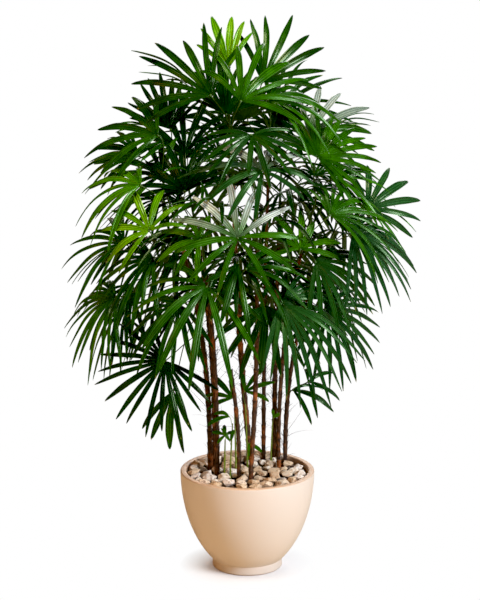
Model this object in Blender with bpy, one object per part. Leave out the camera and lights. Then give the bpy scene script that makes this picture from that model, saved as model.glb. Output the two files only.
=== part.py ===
"""Potted lady palm: a clump of canes with fan fronds, in a round pot under pale stone chips.

Metres, +Z up. The origin is the centre of the pot's flat underside. The plant is seen
from -Y, with its right side at +X. Every frond is a fan of leaflets round a hub, on a
leaf stalk that is sunk into the green upper stem of one cane.
"""
import math
import random
from typing import NamedTuple

import bmesh
import bpy
from mathutils import Matrix, Vector
from mathutils.bvhtree import BVHTree
from mathutils.geometry import intersect_ray_tri

# Pot
RIM_RADIUS = 0.210
POT_HEIGHT = 0.315
WALL = 0.019
FOOT_RADIUS = 0.110
FOOT_HEIGHT = 0.028
BELLY_DROP = 0.337
POT_FLOOR = 0.034
POT_SIDES = 32
RIM_ROUNDING = 0.003

# Filling of the pot
GAP = 0.0005
SOIL_TOP = 0.280
CHIP_BED_TOP = 0.287
CHIP_COUNT = 28
CHIP_RING = 0.170
CHIP_LIMIT = 0.1885
CHIP_TOP_LIMIT = 0.330
CHIP_POINTS = 8
CHIP_SEED = 11

# Canes and shoots
ROOT_DEPTH = 0.200
LEAN_START = 0.345
CANE_SIDES = 6
SHOOT_SIDES = 5
CORE_SIDES = 5
CANE_STEP = 0.085
CORE_TIP_RADIUS = 0.0028

# Fronds. Cup is how far the leaflets rise from the fan's plane, arch how far they bend back.
KEEL = 0.0032
HALF_WIDTH = 0.0130
EDGE_SHORTER = 0.24
EDGE_NARROWER = 0.26
HUB_SHARE = 0.11
WIDE_GAP = math.radians(60)
STALK_SECTOR = math.radians(38)
HUB_RISE = 0.0012
HUB_DEPTH = 0.0045
STALK_EDGE = 0.55
STALK_RADIUS = 0.0024
SHOOT_STALK_RADIUS = 0.0012
STALK_STEPS = 3
CUP = 0.20
ARCH = 0.36

# How far a fan and its leaflets may move from where they are wanted, to stay clear of others
CLEARANCE = 0.0015
TRIES = 80
TURN_LIMIT = math.radians(14)
LIFT_LIMIT = math.radians(28)
HUB_SHIFT = 0.040
ANCHOR_CHOICES = 60
SIBLING_GAP = 0.0005

# How much each leaflet differs from its neighbours
NATURAL_TURN = math.radians(3)
NATURAL_SAG = (0.70, 1.40)
NATURAL_LENGTH = (0.88, 1.04)

# Share of the leaflet's length, and of its half-width there
LEAFLET_RINGS = ((0.38, 0.96), (0.76, 0.88))
SIMPLE_RINGS = ((0.50, 1.00),)
LONG_RINGS = ((0.28, 0.90), (0.55, 1.00), (0.82, 0.80))
LONG_DROOP = 0.46

DOWN = Vector((0.0, 0.0, -1.0))


class Cane(NamedTuple):
    """A cane: its foot, its thickness, where its leafy crown begins, where that ends and its bow."""
    foot: tuple
    radius: float
    crown_start: float
    tip: tuple
    bow: tuple = (0.0, 0.0)


class Frond(NamedTuple):
    """A fan: its hub, where its upper face looks and where its middle leaflet points.

    The face is a turn from +X towards +Y and a rise above the level, in degrees. The clock
    angle is that of the middle leaflet for someone who looks at that face: 0 is up, 90 right.
    The leaflets of a simple fan have one bend instead of two or three.
    """
    hub: tuple
    face: tuple
    clock: float
    span: float
    leaflets: int
    length: float
    droop: float
    simple: bool = False


class Shoot(NamedTuple):
    """A young shoot: its foot, its top, its thickness and its small fans."""
    foot: tuple
    top: tuple
    radius: float
    fronds: tuple


CANES = (
    Cane((-0.117, 0.020), 0.0078, 0.76, (-0.270, 0.000, 1.27)),
    Cane((-0.104, 0.064), 0.0058, 0.80, (-0.200, 0.220, 1.26)),
    Cane((-0.095, -0.022), 0.0078, 0.74, (-0.140, -0.170, 1.10)),
    Cane((0.008, 0.096), 0.0088, 0.84, (-0.060, 0.010, 1.47), (-0.060, 0.0)),
    Cane((0.011, -0.086), 0.0072, 0.80, (0.030, -0.210, 1.22), (0.030, 0.0)),
    Cane((0.052, 0.113), 0.0064, 0.92, (0.070, 0.060, 1.43)),
    Cane((0.087, 0.136), 0.0074, 0.80, (0.110, 0.270, 1.27)),
    Cane((0.099, 0.082), 0.0062, 0.78, (0.215, -0.060, 1.22)),
    Cane((0.121, 0.106), 0.0070, 0.50, (0.285, 0.090, 1.10)),
)

# The thin cane whose top has broken off, and the stub of an old one cut near the chips
BROKEN_CANE = Cane((-0.026, -0.065), 0.0062, 0.647, (-0.052, -0.060, 0.647))
STUB = Cane((0.100, 0.036), 0.0062, 0.348, (0.100, 0.036, 0.348))

# The fronds on the side that the photograph shows, from the left to the right
FRONT_FRONDS = (
    # Left
    Frond((-0.19, 0.05, 1.30), (-100, 28), -16, 95, 6, 0.28, 0.10),
    Frond((-0.26, 0.00, 1.25), (-105, 35), -60, 150, 8, 0.27, 0.22),
    Frond((-0.27, -0.02, 1.37), (-105, 38), -76, 130, 7, 0.25, 0.15),
    Frond((-0.32, -0.10, 1.23), (-115, 52), -90, 140, 8, 0.235, 0.45),
    Frond((-0.292, -0.182, 1.108), (-100, 30), -38, 210, 8, 0.19, 0.20),
    Frond((-0.375, -0.05, 1.045), (-115, 45), -80, 160, 9, 0.23, 0.34),
    Frond((-0.281, -0.139, 1.018), (-115, 40), -125, 150, 6, 0.22, 0.35),
    Frond((-0.40, -0.08, 0.885), (-130, 40), -122, 180, 8, 0.215, 0.45),
    Frond((-0.35, 0.12, 0.84), (-160, 45), -150, 160, 7, 0.24, 0.45),
    Frond((-0.201, -0.151, 0.876), (-110, 38), -150, 170, 6, 0.22, 0.30),
    Frond((-0.25, -0.12, 0.695), (-95, 22), -135, 225, 9, 0.235, 0.10),
    Frond((-0.23, -0.02, 0.575), (-100, 15), -174, 70, 5, 0.20, 0.05),
    Frond((-0.165, -0.08, 1.065), (-105, 50), -80, 120, 7, 0.20, 0.35),
    Frond((-0.141, -0.219, 1.088), (-98, 38), -48, 260, 8, 0.14, 0.25),
    Frond((-0.121, -0.25, 0.953), (-90, 40), -146, 200, 9, 0.27, 0.30),
    # Middle
    Frond((-0.03, -0.269, 1.103), (-88, 30), -6, 300, 11, 0.23, 0.10),
    Frond((0.041, -0.232, 1.295), (-85, 40), -24, 290, 10, 0.20, 0.20),
    Frond((-0.02, -0.145, 1.488), (-82, 35), 32, 140, 8, 0.27, 0.12),
    Frond((-0.055, 0.03, 1.57), (-100, 20), -12, 80, 6, 0.19, 0.05),
    Frond((-0.11, -0.10, 1.50), (-100, 30), -44, 130, 9, 0.295, 0.06),
    Frond((0.045, 0.03, 1.525), (-80, 20), 34, 110, 8, 0.265, 0.08),
    Frond((0.06, -0.10, 1.485), (-70, 55), 92, 110, 7, 0.26, 0.38),
    Frond((0.10, 0.15, 1.35), (-85, 20), -25, 160, 7, 0.18, 0.12),
    Frond((0.01, -0.163, 1.391), (-88, 42), 178, 210, 7, 0.20, 0.15),
    Frond((-0.03, -0.232, 1.021), (-90, 25), -170, 80, 5, 0.24, 0.05),
    Frond((-0.005, -0.256, 1.008), (-75, 52), 80, 120, 6, 0.27, 0.45),
    Frond((0.056, -0.219, 0.891), (-88, 25), -174, 110, 7, 0.235, 0.05),
    # Right
    Frond((0.156, -0.182, 1.053), (-80, 30), 6, 190, 7, 0.17, 0.12),
    Frond((0.21, -0.08, 1.31), (-75, 32), 48, 210, 9, 0.22, 0.12),
    Frond((0.185, 0.02, 1.365), (-75, 35), 58, 120, 7, 0.265, 0.12),
    Frond((0.25, -0.10, 1.25), (-65, 50), 82, 140, 8, 0.24, 0.34),
    Frond((0.242, -0.194, 1.157), (-68, 45), 62, 160, 7, 0.265, 0.42),
    Frond((0.365, 0.03, 1.135), (-75, 28), 55, 130, 7, 0.215, 0.14),
    Frond((0.311, -0.139, 1.088), (-70, 42), 94, 215, 10, 0.225, 0.45),
    Frond((0.201, -0.176, 1.013), (-75, 38), 124, 150, 6, 0.22, 0.35),
    Frond((0.097, -0.263, 0.905), (-72, 45), 126, 170, 9, 0.275, 0.32),
    Frond((0.235, -0.10, 0.85), (-68, 35), 128, 240, 9, 0.21, 0.28),
    Frond((0.19, 0.02, 0.592), (-85, 45), 82, 170, 4, 0.125, 0.30),
    Frond((0.145, 0.07, 0.552), (-85, 45), 108, 90, 3, 0.145, 0.30),
    # Behind these, where the crown is dense
    Frond((-0.14, -0.03, 1.475), (5, 42), 0, 100, 6, 0.28, 0.16),
    Frond((0.00, 0.15, 1.40), (85, 35), 5, 210, 8, 0.24, 0.12, True),
    Frond((-0.235, 0.08, 1.375), (-98, 22), -14, 110, 6, 0.21, 0.06, True),
    Frond((-0.065, -0.03, 1.435), (-92, 24), 2, 130, 7, 0.22, 0.08, True),
    Frond((-0.33, 0.03, 1.30), (-105, 45), -84, 110, 6, 0.20, 0.20, True),
    Frond((-0.36, -0.01, 0.91), (-120, 35), -165, 100, 6, 0.24, 0.25, True),
    Frond((-0.19, -0.05, 1.205), (-100, 25), -20, 170, 7, 0.21, 0.10, True),
)

SHOOTS = (
    Shoot((-0.071, -0.048), (-0.069, -0.046, 0.425), 0.0030, (
        Frond((-0.069, -0.050, 0.440), (-90, 30), -35, 190, 4, 0.050, 0.15),
    )),
    Shoot((-0.053, -0.058), (-0.046, -0.058, 0.480), 0.0028, (
        Frond((-0.054, -0.064, 0.425), (-90, 10), -4, 60, 2, 0.075, 0.05),
        Frond((-0.056, -0.060, 0.502), (-95, 50), -78, 50, 2, 0.100, 0.30),
    )),
    Shoot((-0.036, 0.010), (-0.040, 0.008, 0.500), 0.0030, (
        Frond((-0.046, 0.000, 0.545), (-90, 25), -54, 100, 4, 0.120, 0.20),
    )),
    Shoot((0.000, 0.036), (-0.006, 0.022, 0.520), 0.0030, (
        Frond((-0.008, 0.008, 0.565), (-85, 25), 50, 110, 4, 0.115, 0.15),
        Frond((0.004, 0.012, 0.395), (-85, 25), 145, 60, 2, 0.070, 0.20),
    )),
    Shoot((0.076, 0.086), (0.080, 0.078, 0.450), 0.0026, (
        Frond((0.083, 0.066, 0.462), (-85, 20), 20, 50, 2, 0.050, 0.05),
    )),
)

# Fronds of the hidden side and of the inside, placed by rule
CROWN_CENTRE = Vector((-0.01, 0.03, 1.07))
CROWN_REACH = Vector((0.34, 0.30, 0.40))
BACK_DIRECTIONS = 54
INNER_DIRECTIONS = 26
INNER_DEPTH = 0.60
RULE_SEED = 5

MATERIALS = {
    "glazed clay": ((0.80, 0.62, 0.44), 0.65),
    "potting soil": ((0.045, 0.030, 0.020), 0.95),
    "limestone chips": ((0.72, 0.64, 0.52), 0.85),
    "fibrous cane": ((0.14, 0.055, 0.028), 0.85),
    "leaf green": ((0.045, 0.16, 0.025), 0.45),
    "shoot green": ((0.13, 0.26, 0.04), 0.50),
}


def clear_scene():
    for old in list(bpy.data.objects):
        bpy.data.objects.remove(old, do_unlink=True)


def make_material(name):
    colour, roughness = MATERIALS[name]
    material = bpy.data.materials.new(name)
    material.use_nodes = True
    shader = material.node_tree.nodes["Principled BSDF"]
    shader.inputs["Base Color"].default_value = (*colour, 1.0)
    shader.inputs["Roughness"].default_value = roughness
    shader.inputs["Metallic"].default_value = 0.0
    material.diffuse_color = (*colour, 1.0)
    return material


def add_object(name, mesh, material):
    mesh.materials.clear()
    mesh.materials.append(material)
    piece = bpy.data.objects.new(name, mesh)
    bpy.context.scene.collection.objects.link(piece)
    return piece


def mesh_from_lists(name, points, faces):
    mesh = bpy.data.meshes.new(name)
    mesh.from_pydata([tuple(point) for point in points], [], faces)
    mesh.validate()
    return mesh


def direction(turn, rise):
    turn, rise = math.radians(turn), math.radians(rise)
    return Vector((math.cos(turn) * math.cos(rise), math.sin(turn) * math.cos(rise), math.sin(rise)))


# Turned shapes: the pot and its filling

def outer_radius(height):
    return RIM_RADIUS * math.sqrt(1.0 - ((POT_HEIGHT - height) / BELLY_DROP) ** 2)


def inner_radius(height):
    return outer_radius(height) - WALL


def turned_mesh(name, profile):
    """Turn a profile of (radius, height) points, from the bottom of the axis up and back to it."""
    bm = bmesh.new()
    corners = [bm.verts.new((radius, 0.0, height)) for radius, height in profile]
    edges = [bm.edges.new(pair) for pair in zip(corners, corners[1:])]
    bmesh.ops.spin(bm, geom=corners + edges, cent=(0, 0, 0), axis=(0, 0, 1), angle=math.tau,
                   steps=POT_SIDES, use_merge=True, use_duplicate=False)
    bmesh.ops.remove_doubles(bm, verts=bm.verts, dist=1e-6)
    bmesh.ops.recalc_face_normals(bm, faces=bm.faces)
    bmesh.ops.triangulate(bm, faces=bm.faces)
    mesh = bpy.data.meshes.new(name)
    bm.to_mesh(mesh)
    bm.free()
    return mesh


INNER_ROWS = (0.060, 0.140, SOIL_TOP)


def pot_profile():
    belly = [0.050, 0.080, 0.118, 0.162, 0.212, 0.264]
    outside = [(0.0, 0.0), (FOOT_RADIUS - 0.003, 0.0), (FOOT_RADIUS, 0.004), (FOOT_RADIUS, FOOT_HEIGHT)]
    outside += [(outer_radius(height), height) for height in belly]
    outside.append((RIM_RADIUS, POT_HEIGHT - RIM_ROUNDING))
    outside.append((RIM_RADIUS - RIM_ROUNDING, POT_HEIGHT))
    rim_inside = inner_radius(POT_HEIGHT)
    inside = [(rim_inside + RIM_ROUNDING, POT_HEIGHT), (rim_inside, POT_HEIGHT - RIM_ROUNDING)]
    inside += [(inner_radius(height), height) for height in reversed(INNER_ROWS)]
    inside += [(inner_radius(INNER_ROWS[0]) - 0.022, POT_FLOOR), (0.0, POT_FLOOR)]
    return outside + inside


def make_pot(material):
    mesh = turned_mesh("pot", pot_profile())
    mesh.shade_smooth()
    mesh.set_sharp_from_angle(angle=math.radians(35))
    return add_object("pot", mesh, material)


def make_soil(material):
    floor_radius = inner_radius(INNER_ROWS[0]) - 0.022
    profile = [(0.0, POT_FLOOR + GAP), (floor_radius - GAP, POT_FLOOR + GAP)]
    profile += [(inner_radius(height) - 2 * GAP, height) for height in INNER_ROWS]
    profile.append((0.0, SOIL_TOP))
    return add_object("soil", turned_mesh("soil", profile), material)


def chip_mesh(rng, place):
    """One angular chip: the hull of a few points scattered over a flattened ball."""
    size = Vector((rng.uniform(0.022, 0.028), rng.uniform(0.018, 0.023), rng.uniform(0.011, 0.015)))
    turn = Matrix.Rotation(rng.uniform(0, math.tau), 3, "Z")
    turn = turn @ Matrix.Rotation(rng.uniform(-0.35, 0.35), 3, "X")
    middle = Vector((place[0], place[1], CHIP_BED_TOP + rng.uniform(0.003, 0.013)))
    bm = bmesh.new()
    for index in range(CHIP_POINTS):
        height = 1.0 - 2.0 * (index + 0.5) / CHIP_POINTS
        angle = index * math.pi * (3.0 - math.sqrt(5.0)) + rng.uniform(-0.5, 0.5)
        ring = math.sqrt(1.0 - height * height)
        unit = Vector((ring * math.cos(angle), ring * math.sin(angle), height)) * rng.uniform(0.88, 1.08)
        point = middle + turn @ Vector(axis * share for axis, share in zip(size, unit))
        reach = math.hypot(point.x, point.y)
        if reach > CHIP_LIMIT:
            point.x *= CHIP_LIMIT / reach
            point.y *= CHIP_LIMIT / reach
        point.z = min(point.z, CHIP_TOP_LIMIT)
        point.z = max(point.z, SOIL_TOP + 0.003)
        bm.verts.new(point)
    hull = bmesh.ops.convex_hull(bm, input=bm.verts)
    unused = hull["geom_interior"] + hull["geom_unused"]
    loose = [item for item in unused if isinstance(item, bmesh.types.BMVert)]
    bmesh.ops.delete(bm, geom=loose, context="VERTS")
    bmesh.ops.recalc_face_normals(bm, faces=bm.faces)
    mesh = bpy.data.meshes.new("chip")
    bm.to_mesh(mesh)
    bm.free()
    return mesh


def apply_boolean(base, others, operation, solver="EXACT"):
    """Join or cut a piece with every object of a collection, apply it and remove them."""
    group = bpy.data.collections.new("operands")
    bpy.context.scene.collection.children.link(group)
    for other in others:
        bpy.context.scene.collection.objects.unlink(other)
        group.objects.link(other)
    step = base.modifiers.new("join", "BOOLEAN")
    step.operation = operation
    step.solver = solver
    step.operand_type = "COLLECTION"
    step.collection = group
    evaluated = base.evaluated_get(bpy.context.evaluated_depsgraph_get())
    mesh = bpy.data.meshes.new_from_object(evaluated)
    material = base.data.materials[0]
    base.modifiers.clear()
    base.data = mesh
    mesh.materials.clear()
    mesh.materials.append(material)
    for other in others:
        bpy.data.objects.remove(other, do_unlink=True)
    bpy.data.collections.remove(group)
    return base


def hole_cutter(foot, radius, sides, material):
    """A prism round a stem's foot, of the stem's own section and a little wider."""
    centres = [Vector((*foot, ROOT_DEPTH - GAP)), Vector((*foot, LEAN_START + GAP))]
    lists = tube_lists(centres, [radius + 2 * GAP] * 2, sides, True)
    return add_object("hole", mesh_from_lists("hole", *lists), material)


def stem_holes(material):
    cutters = []
    for cane in (*CANES, BROKEN_CANE, STUB):
        cutters.append(hole_cutter(cane.foot, cane.radius, CANE_SIDES, material))
    for shoot in SHOOTS:
        cutters.append(hole_cutter(shoot.foot, shoot.radius, SHOOT_SIDES, material))
    return cutters


def drop_crumbs(piece):
    """Keep the largest body of a piece, without the crumbs that the holes leave of some chips."""
    bm = bmesh.new()
    bm.from_mesh(piece.data)
    unseen = set(bm.faces)
    bodies = []
    while unseen:
        body = set()
        front = [unseen.pop()]
        while front:
            face = front.pop()
            body.add(face)
            for edge in face.edges:
                for beside in edge.link_faces:
                    if beside in unseen:
                        unseen.remove(beside)
                        front.append(beside)
        bodies.append(body)
    bodies.sort(key=len)
    crumbs = [face for body in bodies[:-1] for face in body]
    bmesh.ops.delete(bm, geom=crumbs, context="FACES")
    bm.to_mesh(piece.data)
    bm.free()
    return piece


def make_chips(material):
    """The layer of chips: a thin bed with a chip at each place of a sunflower spiral."""
    rng = random.Random(CHIP_SEED)
    wall = inner_radius(SOIL_TOP) - 2 * GAP
    bed_profile = [(0.0, SOIL_TOP + GAP), (wall, SOIL_TOP + GAP), (wall, CHIP_BED_TOP), (0.0, CHIP_BED_TOP)]
    bed = add_object("pebbles", turned_mesh("pebbles", bed_profile), material)
    chips = []
    for index in range(CHIP_COUNT):
        reach = CHIP_RING * math.sqrt((index + 0.5) / CHIP_COUNT)
        angle = index * math.pi * (3.0 - math.sqrt(5.0)) + rng.uniform(-0.06, 0.06)
        place = (reach * math.cos(angle), reach * math.sin(angle))
        chips.append(add_object("chip", chip_mesh(rng, place), material))
    apply_boolean(bed, chips, "UNION")
    return drop_crumbs(apply_boolean(bed, stem_holes(material), "DIFFERENCE"))


# Stems

def stem_point(cane, share):
    """A point on a cane's middle line, from the chips (0) to the crown's tip (1)."""
    foot = Vector((*cane.foot, LEAN_START))
    tip = Vector(cane.tip)
    rise = tip.z - LEAN_START
    low = foot + Vector((*cane.bow, 0.5 * rise))
    high = foot.lerp(tip, 0.55)
    high.z = LEAN_START + 0.74 * rise
    rest = 1.0 - share
    near_foot = foot * rest ** 3 + low * (3 * rest * rest * share)
    return near_foot + high * (3 * rest * share * share) + tip * share ** 3


def share_at_height(cane, height):
    low, high = 0.0, 1.0
    for _ in range(40):
        middle = (low + high) / 2
        if stem_point(cane, middle).z < height:
            low = middle
        else:
            high = middle
    return (low + high) / 2


def tube_lists(centres, radii, sides, level_ends):
    """Corner points and faces of a closed tube. With level ends, its first and last rings are level."""
    points = []
    for index, (centre, radius) in enumerate(zip(centres, radii)):
        before = centres[max(index - 1, 0)]
        after = centres[min(index + 1, len(centres) - 1)]
        along = (after - before).normalized()
        if level_ends and index in (0, 1, len(centres) - 1):
            along = Vector((0, 0, 1))
        across = Vector((0, 1, 0)).cross(along).normalized()
        other = along.cross(across)
        for side in range(sides):
            angle = math.tau * side / sides
            points.append(centre + across * (radius * math.cos(angle)) + other * (radius * math.sin(angle)))
    faces = []
    for ring in range(len(centres) - 1):
        for side in range(sides):
            here = ring * sides + side
            beside = ring * sides + (side + 1) % sides
            faces.append((here, beside, here + sides))
            faces.append((beside, beside + sides, here + sides))
    last = (len(centres) - 1) * sides
    for side in range(1, sides - 1):
        faces.append((0, side + 1, side))
        faces.append((last, last + side, last + side + 1))
    return points, faces


def cane_lists(cane, top):
    """A cane from its root, straight up through the chips, then along its leaning line."""
    centres = [Vector((*cane.foot, ROOT_DEPTH)), Vector((*cane.foot, LEAN_START))]
    end = share_at_height(cane, top)
    steps = max(1, round((top - LEAN_START) / CANE_STEP))
    for step in range(1, steps + 1):
        centres.append(stem_point(cane, end * step / steps))
    centres[-1].z = top
    radii = [cane.radius] * len(centres)
    return tube_lists(centres, radii, CANE_SIDES, True)


def core_lists(cane):
    """The green upper stem of a cane, thinning to the tip of its newest, unopened leaf."""
    start = share_at_height(cane, cane.crown_start)
    steps = max(3, round((cane.tip[2] - cane.crown_start) / (1.6 * CANE_STEP)))
    centres = []
    radii = []
    for step in range(steps + 1):
        share = step / steps
        centres.append(stem_point(cane, start + (1.0 - start) * share))
        radii.append(cane.radius * 0.96 * (1.0 - share) + CORE_TIP_RADIUS * share)
    centres[0].z = cane.crown_start + GAP
    return tube_lists(centres, radii, CORE_SIDES, True)


# Fans

def fan_axes(frond):
    """The directions of a fan's middle leaflet, of its right-hand side and of its upper face."""
    upper = direction(*frond.face)
    rising = (Vector((0, 0, 1)) - upper * upper.z).normalized()
    rightward = rising.cross(upper)
    clock = math.radians(frond.clock)
    along = rising * math.cos(clock) + rightward * math.sin(clock)
    return along, along.cross(upper), upper


class Leaflet(NamedTuple):
    """One leaflet: where it starts, its directions, its size, its root points and its rings."""
    start: Vector
    heading: Vector
    across: Vector
    upper: Vector
    length: float
    sag: float
    half_width: float
    root: tuple
    rings: tuple


def leaflet_middle(leaflet, share):
    bend = DOWN * leaflet.sag - leaflet.upper * ARCH
    return leaflet.start + (leaflet.heading * share + bend * share ** 2) * leaflet.length


def leaflet_tangent(leaflet, share):
    bend = DOWN * leaflet.sag - leaflet.upper * ARCH
    return (leaflet.heading + bend * (2.0 * share)).normalized()


def leaflet_ring(leaflet, share, width, swell=0.0):
    """The left edge, right edge and keel of a leaflet at a share of its length."""
    middle = leaflet_middle(leaflet, share)
    along = leaflet_tangent(leaflet, share)
    side = (leaflet.across - along * leaflet.across.dot(along)).normalized()
    upper = side.cross(along)
    half = leaflet.half_width * width + swell
    left = middle - side * half + upper * swell
    right = middle + side * half + upper * swell
    keel = middle - upper * (KEEL * (0.45 + 0.55 * width) + swell)
    return [left, right, keel]


def add_blade(points, faces, root, leaflet, swell=0.0):
    """Grow a leaflet from its three root points to its tip."""
    below = root
    for share, width in leaflet.rings:
        first = len(points)
        points.extend(leaflet_ring(leaflet, share, width, swell))
        ring = (first, first + 1, first + 2)
        join_rings(faces, below, ring)
        below = ring
    tip = len(points)
    points.append(leaflet_middle(leaflet, 1.0) + leaflet_tangent(leaflet, 1.0) * (3 * swell))
    left, right, keel = below
    faces.extend([(left, right, tip), (left, tip, keel), (right, keel, tip)])


def join_rings(faces, below, above):
    left, right, keel = below
    far_left, far_right, far_keel = above
    faces.extend([(left, right, far_left), (right, far_right, far_left)])
    faces.extend([(left, far_left, keel), (keel, far_left, far_keel)])
    faces.extend([(right, keel, far_keel), (right, far_keel, far_right)])


def leaflet_angles(frond):
    """The angle of each leaflet from the fan's middle, and half the step between two."""
    span = math.radians(frond.span)
    step = span / max(frond.leaflets - 1, 1)
    angles = [step * index - span / 2 for index in range(frond.leaflets)]
    return angles, step / 2


def make_leaflet(frond, axes, angle, half_step, turn, lift, sag_share, shrink):
    """The leaflet at an angle of a fan, turned in the fan's plane and lifted out of it by a little."""
    along, across, upper = axes
    hub = Vector(frond.hub)
    hub_radius = HUB_SHARE * frond.length
    spread = abs(angle) / max(math.radians(frond.span) / 2, 0.01)
    root_way = along * math.cos(angle) + across * math.sin(angle)
    turned = angle + turn
    heading = along * math.cos(turned) + across * math.sin(turned) + upper * (CUP + math.tan(lift))
    sideways = across * math.cos(turned) - along * math.sin(turned)
    length = frond.length * (1.0 - EDGE_SHORTER * spread * spread) * shrink - hub_radius
    sag = frond.droop * (0.75 + 0.35 * spread) * sag_share
    half_width = HALF_WIDTH * (1.0 - EDGE_NARROWER * spread) * min(1.0, frond.length / 0.20) ** 0.35
    start = hub + root_way * (hub_radius * math.cos(half_step)) + upper * (CUP * hub_radius)
    root = (hub_point(frond, axes, angle - half_step), hub_point(frond, axes, angle + half_step),
            hub_keel(frond, axes, angle))
    rings = SIMPLE_RINGS if frond.simple else LONG_RINGS if sag > LONG_DROOP else LEAFLET_RINGS
    return Leaflet(start, heading.normalized(), sideways, upper, length, sag, half_width, root, rings)


def stalk_points(frond, anchor):
    """The leaf stalk's middle line, from the fan's hub back to its place inside the stem."""
    along, _, upper = fan_axes(frond)
    hub = Vector(frond.hub)
    reach = (hub - anchor).length
    outward = Vector((hub.x - anchor.x, hub.y - anchor.y, 0.0))
    if outward.length > 1e-4:
        outward.normalize()
    leaving = anchor + (outward * 0.45 + Vector((0, 0, 0.9))) * (0.34 * reach)
    arriving = hub - (along * 0.75 + upper * 0.55) * (0.30 * reach)
    line = []
    for step in range(1, STALK_STEPS + 1):
        share = step / STALK_STEPS
        rest = 1.0 - share
        line.append(hub * rest ** 3 + arriving * (3 * rest * rest * share)
                    + leaving * (3 * rest * share * share) + anchor * share ** 3)
    return line


def add_stalk(points, faces, root, frond, anchor, radius, swell=0.0):
    along, across, _ = fan_axes(frond)
    line = [Vector(frond.hub)] + stalk_points(frond, anchor)
    side = -across
    below = root
    for index in range(1, len(line)):
        ahead = line[min(index + 1, len(line) - 1)] - line[index - 1]
        ahead.normalize()
        side = (side - ahead * side.dot(ahead)).normalized()
        upper = side.cross(ahead)
        centre = line[index]
        size = radius + swell
        first = len(points)
        points.append(centre - side * size + upper * (0.6 * size))
        points.append(centre + side * size + upper * (0.6 * size))
        points.append(centre - upper * (1.1 * size))
        ring = (first, first + 1, first + 2)
        join_rings(faces, below, ring)
        below = ring
    faces.append(below)


def hub_point(frond, axes, angle, reach=1.0, swell=0.0):
    """A point on the edge of a fan's hub, in the notch between two leaflets."""
    along, across, upper = axes
    radius = HUB_SHARE * frond.length * reach
    way = along * math.cos(angle) + across * math.sin(angle)
    return Vector(frond.hub) + way * (radius + swell) + upper * (CUP * radius)


def hub_keel(frond, axes, angle, reach=0.80, swell=0.0):
    along, across, upper = axes
    way = along * math.cos(angle) + across * math.sin(angle)
    return Vector(frond.hub) + way * (HUB_SHARE * frond.length * reach) - upper * (KEEL * 0.8 + swell)


def hub_lists(frond, swell=0.0):
    """The hub of a fan: its top and bottom points, its edge, and the roots of leaflets and stalk."""
    axes = fan_axes(frond)
    upper = axes[2]
    hub = Vector(frond.hub)
    angles, half_step = leaflet_angles(frond)
    notches = [angles[0] - half_step] + [angle + half_step for angle in angles]
    edge = [hub_point(frond, axes, angle, 1.0, swell) for angle in notches]
    keels = [hub_keel(frond, axes, angle, 0.80, swell) for angle in angles]
    gap = math.tau - (notches[-1] - notches[0])
    middle = (notches[0] + notches[-1]) / 2 + math.pi
    if gap > WIDE_GAP:
        sector = min(STALK_SECTOR, gap / 2 - 0.2)
        edge += [hub_point(frond, axes, middle - sector, STALK_EDGE, swell),
                 hub_point(frond, axes, middle + sector, STALK_EDGE, swell)]
        keels += [None, hub_keel(frond, axes, middle, 0.20, swell), None]
    else:
        keels.append(hub_keel(frond, axes, middle, STALK_EDGE, swell))
    points = [hub + upper * (HUB_RISE + swell), hub - upper * (HUB_DEPTH + swell), *edge]
    faces = []
    roots = []
    for index, keel_point in enumerate(keels):
        left = 2 + index
        right = 2 + (index + 1) % len(edge)
        faces.append((0, right, left))
        if keel_point is None:
            faces.append((1, left, right))
            continue
        keel = len(points)
        points.append(keel_point)
        roots.append((left, right, keel))
        faces.extend([(1, left, keel), (1, keel, right)])
    return points, faces, roots


class Chunk(NamedTuple):
    """A placed shape that later leaflets keep clear of."""
    middle: Vector
    reach: float
    tree: BVHTree


def make_chunk(points, faces):
    low = Vector([min(point[axis] for point in points) for axis in range(3)])
    high = Vector([max(point[axis] for point in points) for axis in range(3)])
    return Chunk((low + high) / 2, (high - low).length / 2, BVHTree.FromPolygons(points, faces))


def edge_pierces(points, edge, face):
    """Whether an edge goes through a face."""
    start, end = (points[corner] for corner in edge)
    corners = [points[corner] for corner in face]
    hit = intersect_ray_tri(*corners, end - start, start, True)
    return hit is not None and (hit - start).length <= (end - start).length


def is_sound(points, faces):
    """Whether no two faces of a shape cross. Faces that share a corner may still cross beyond it."""
    tree = BVHTree.FromPolygons(points, faces)
    for one, other in tree.overlap(tree):
        if one >= other:
            continue
        shared = set(faces[one]) & set(faces[other])
        if not shared:
            return False
        if len(shared) == 1:
            one_edge = [corner for corner in faces[one] if corner not in shared]
            other_edge = [corner for corner in faces[other] if corner not in shared]
            if edge_pierces(points, one_edge, faces[other]) or edge_pierces(points, other_edge, faces[one]):
                return False
    return True


def is_clear(chunk, others):
    for other in others:
        near = (other.middle - chunk.middle).length < other.reach + chunk.reach
        if near and chunk.tree.overlap(other.tree):
            return False
    return True


def loose_blade(leaflet, share, swell):
    """A leaflet from a share of its length to its tip, on its own, to try its place."""
    first_share, first_width = leaflet.rings[0]
    ring = leaflet_ring(leaflet, first_share, first_width, swell)
    points = [low.lerp(high, share / first_share) for low, high in zip(leaflet.root, ring)]
    faces = [(0, 2, 1)]
    add_blade(points, faces, (0, 1, 2), leaflet, swell)
    return make_chunk(points, faces)


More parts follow.
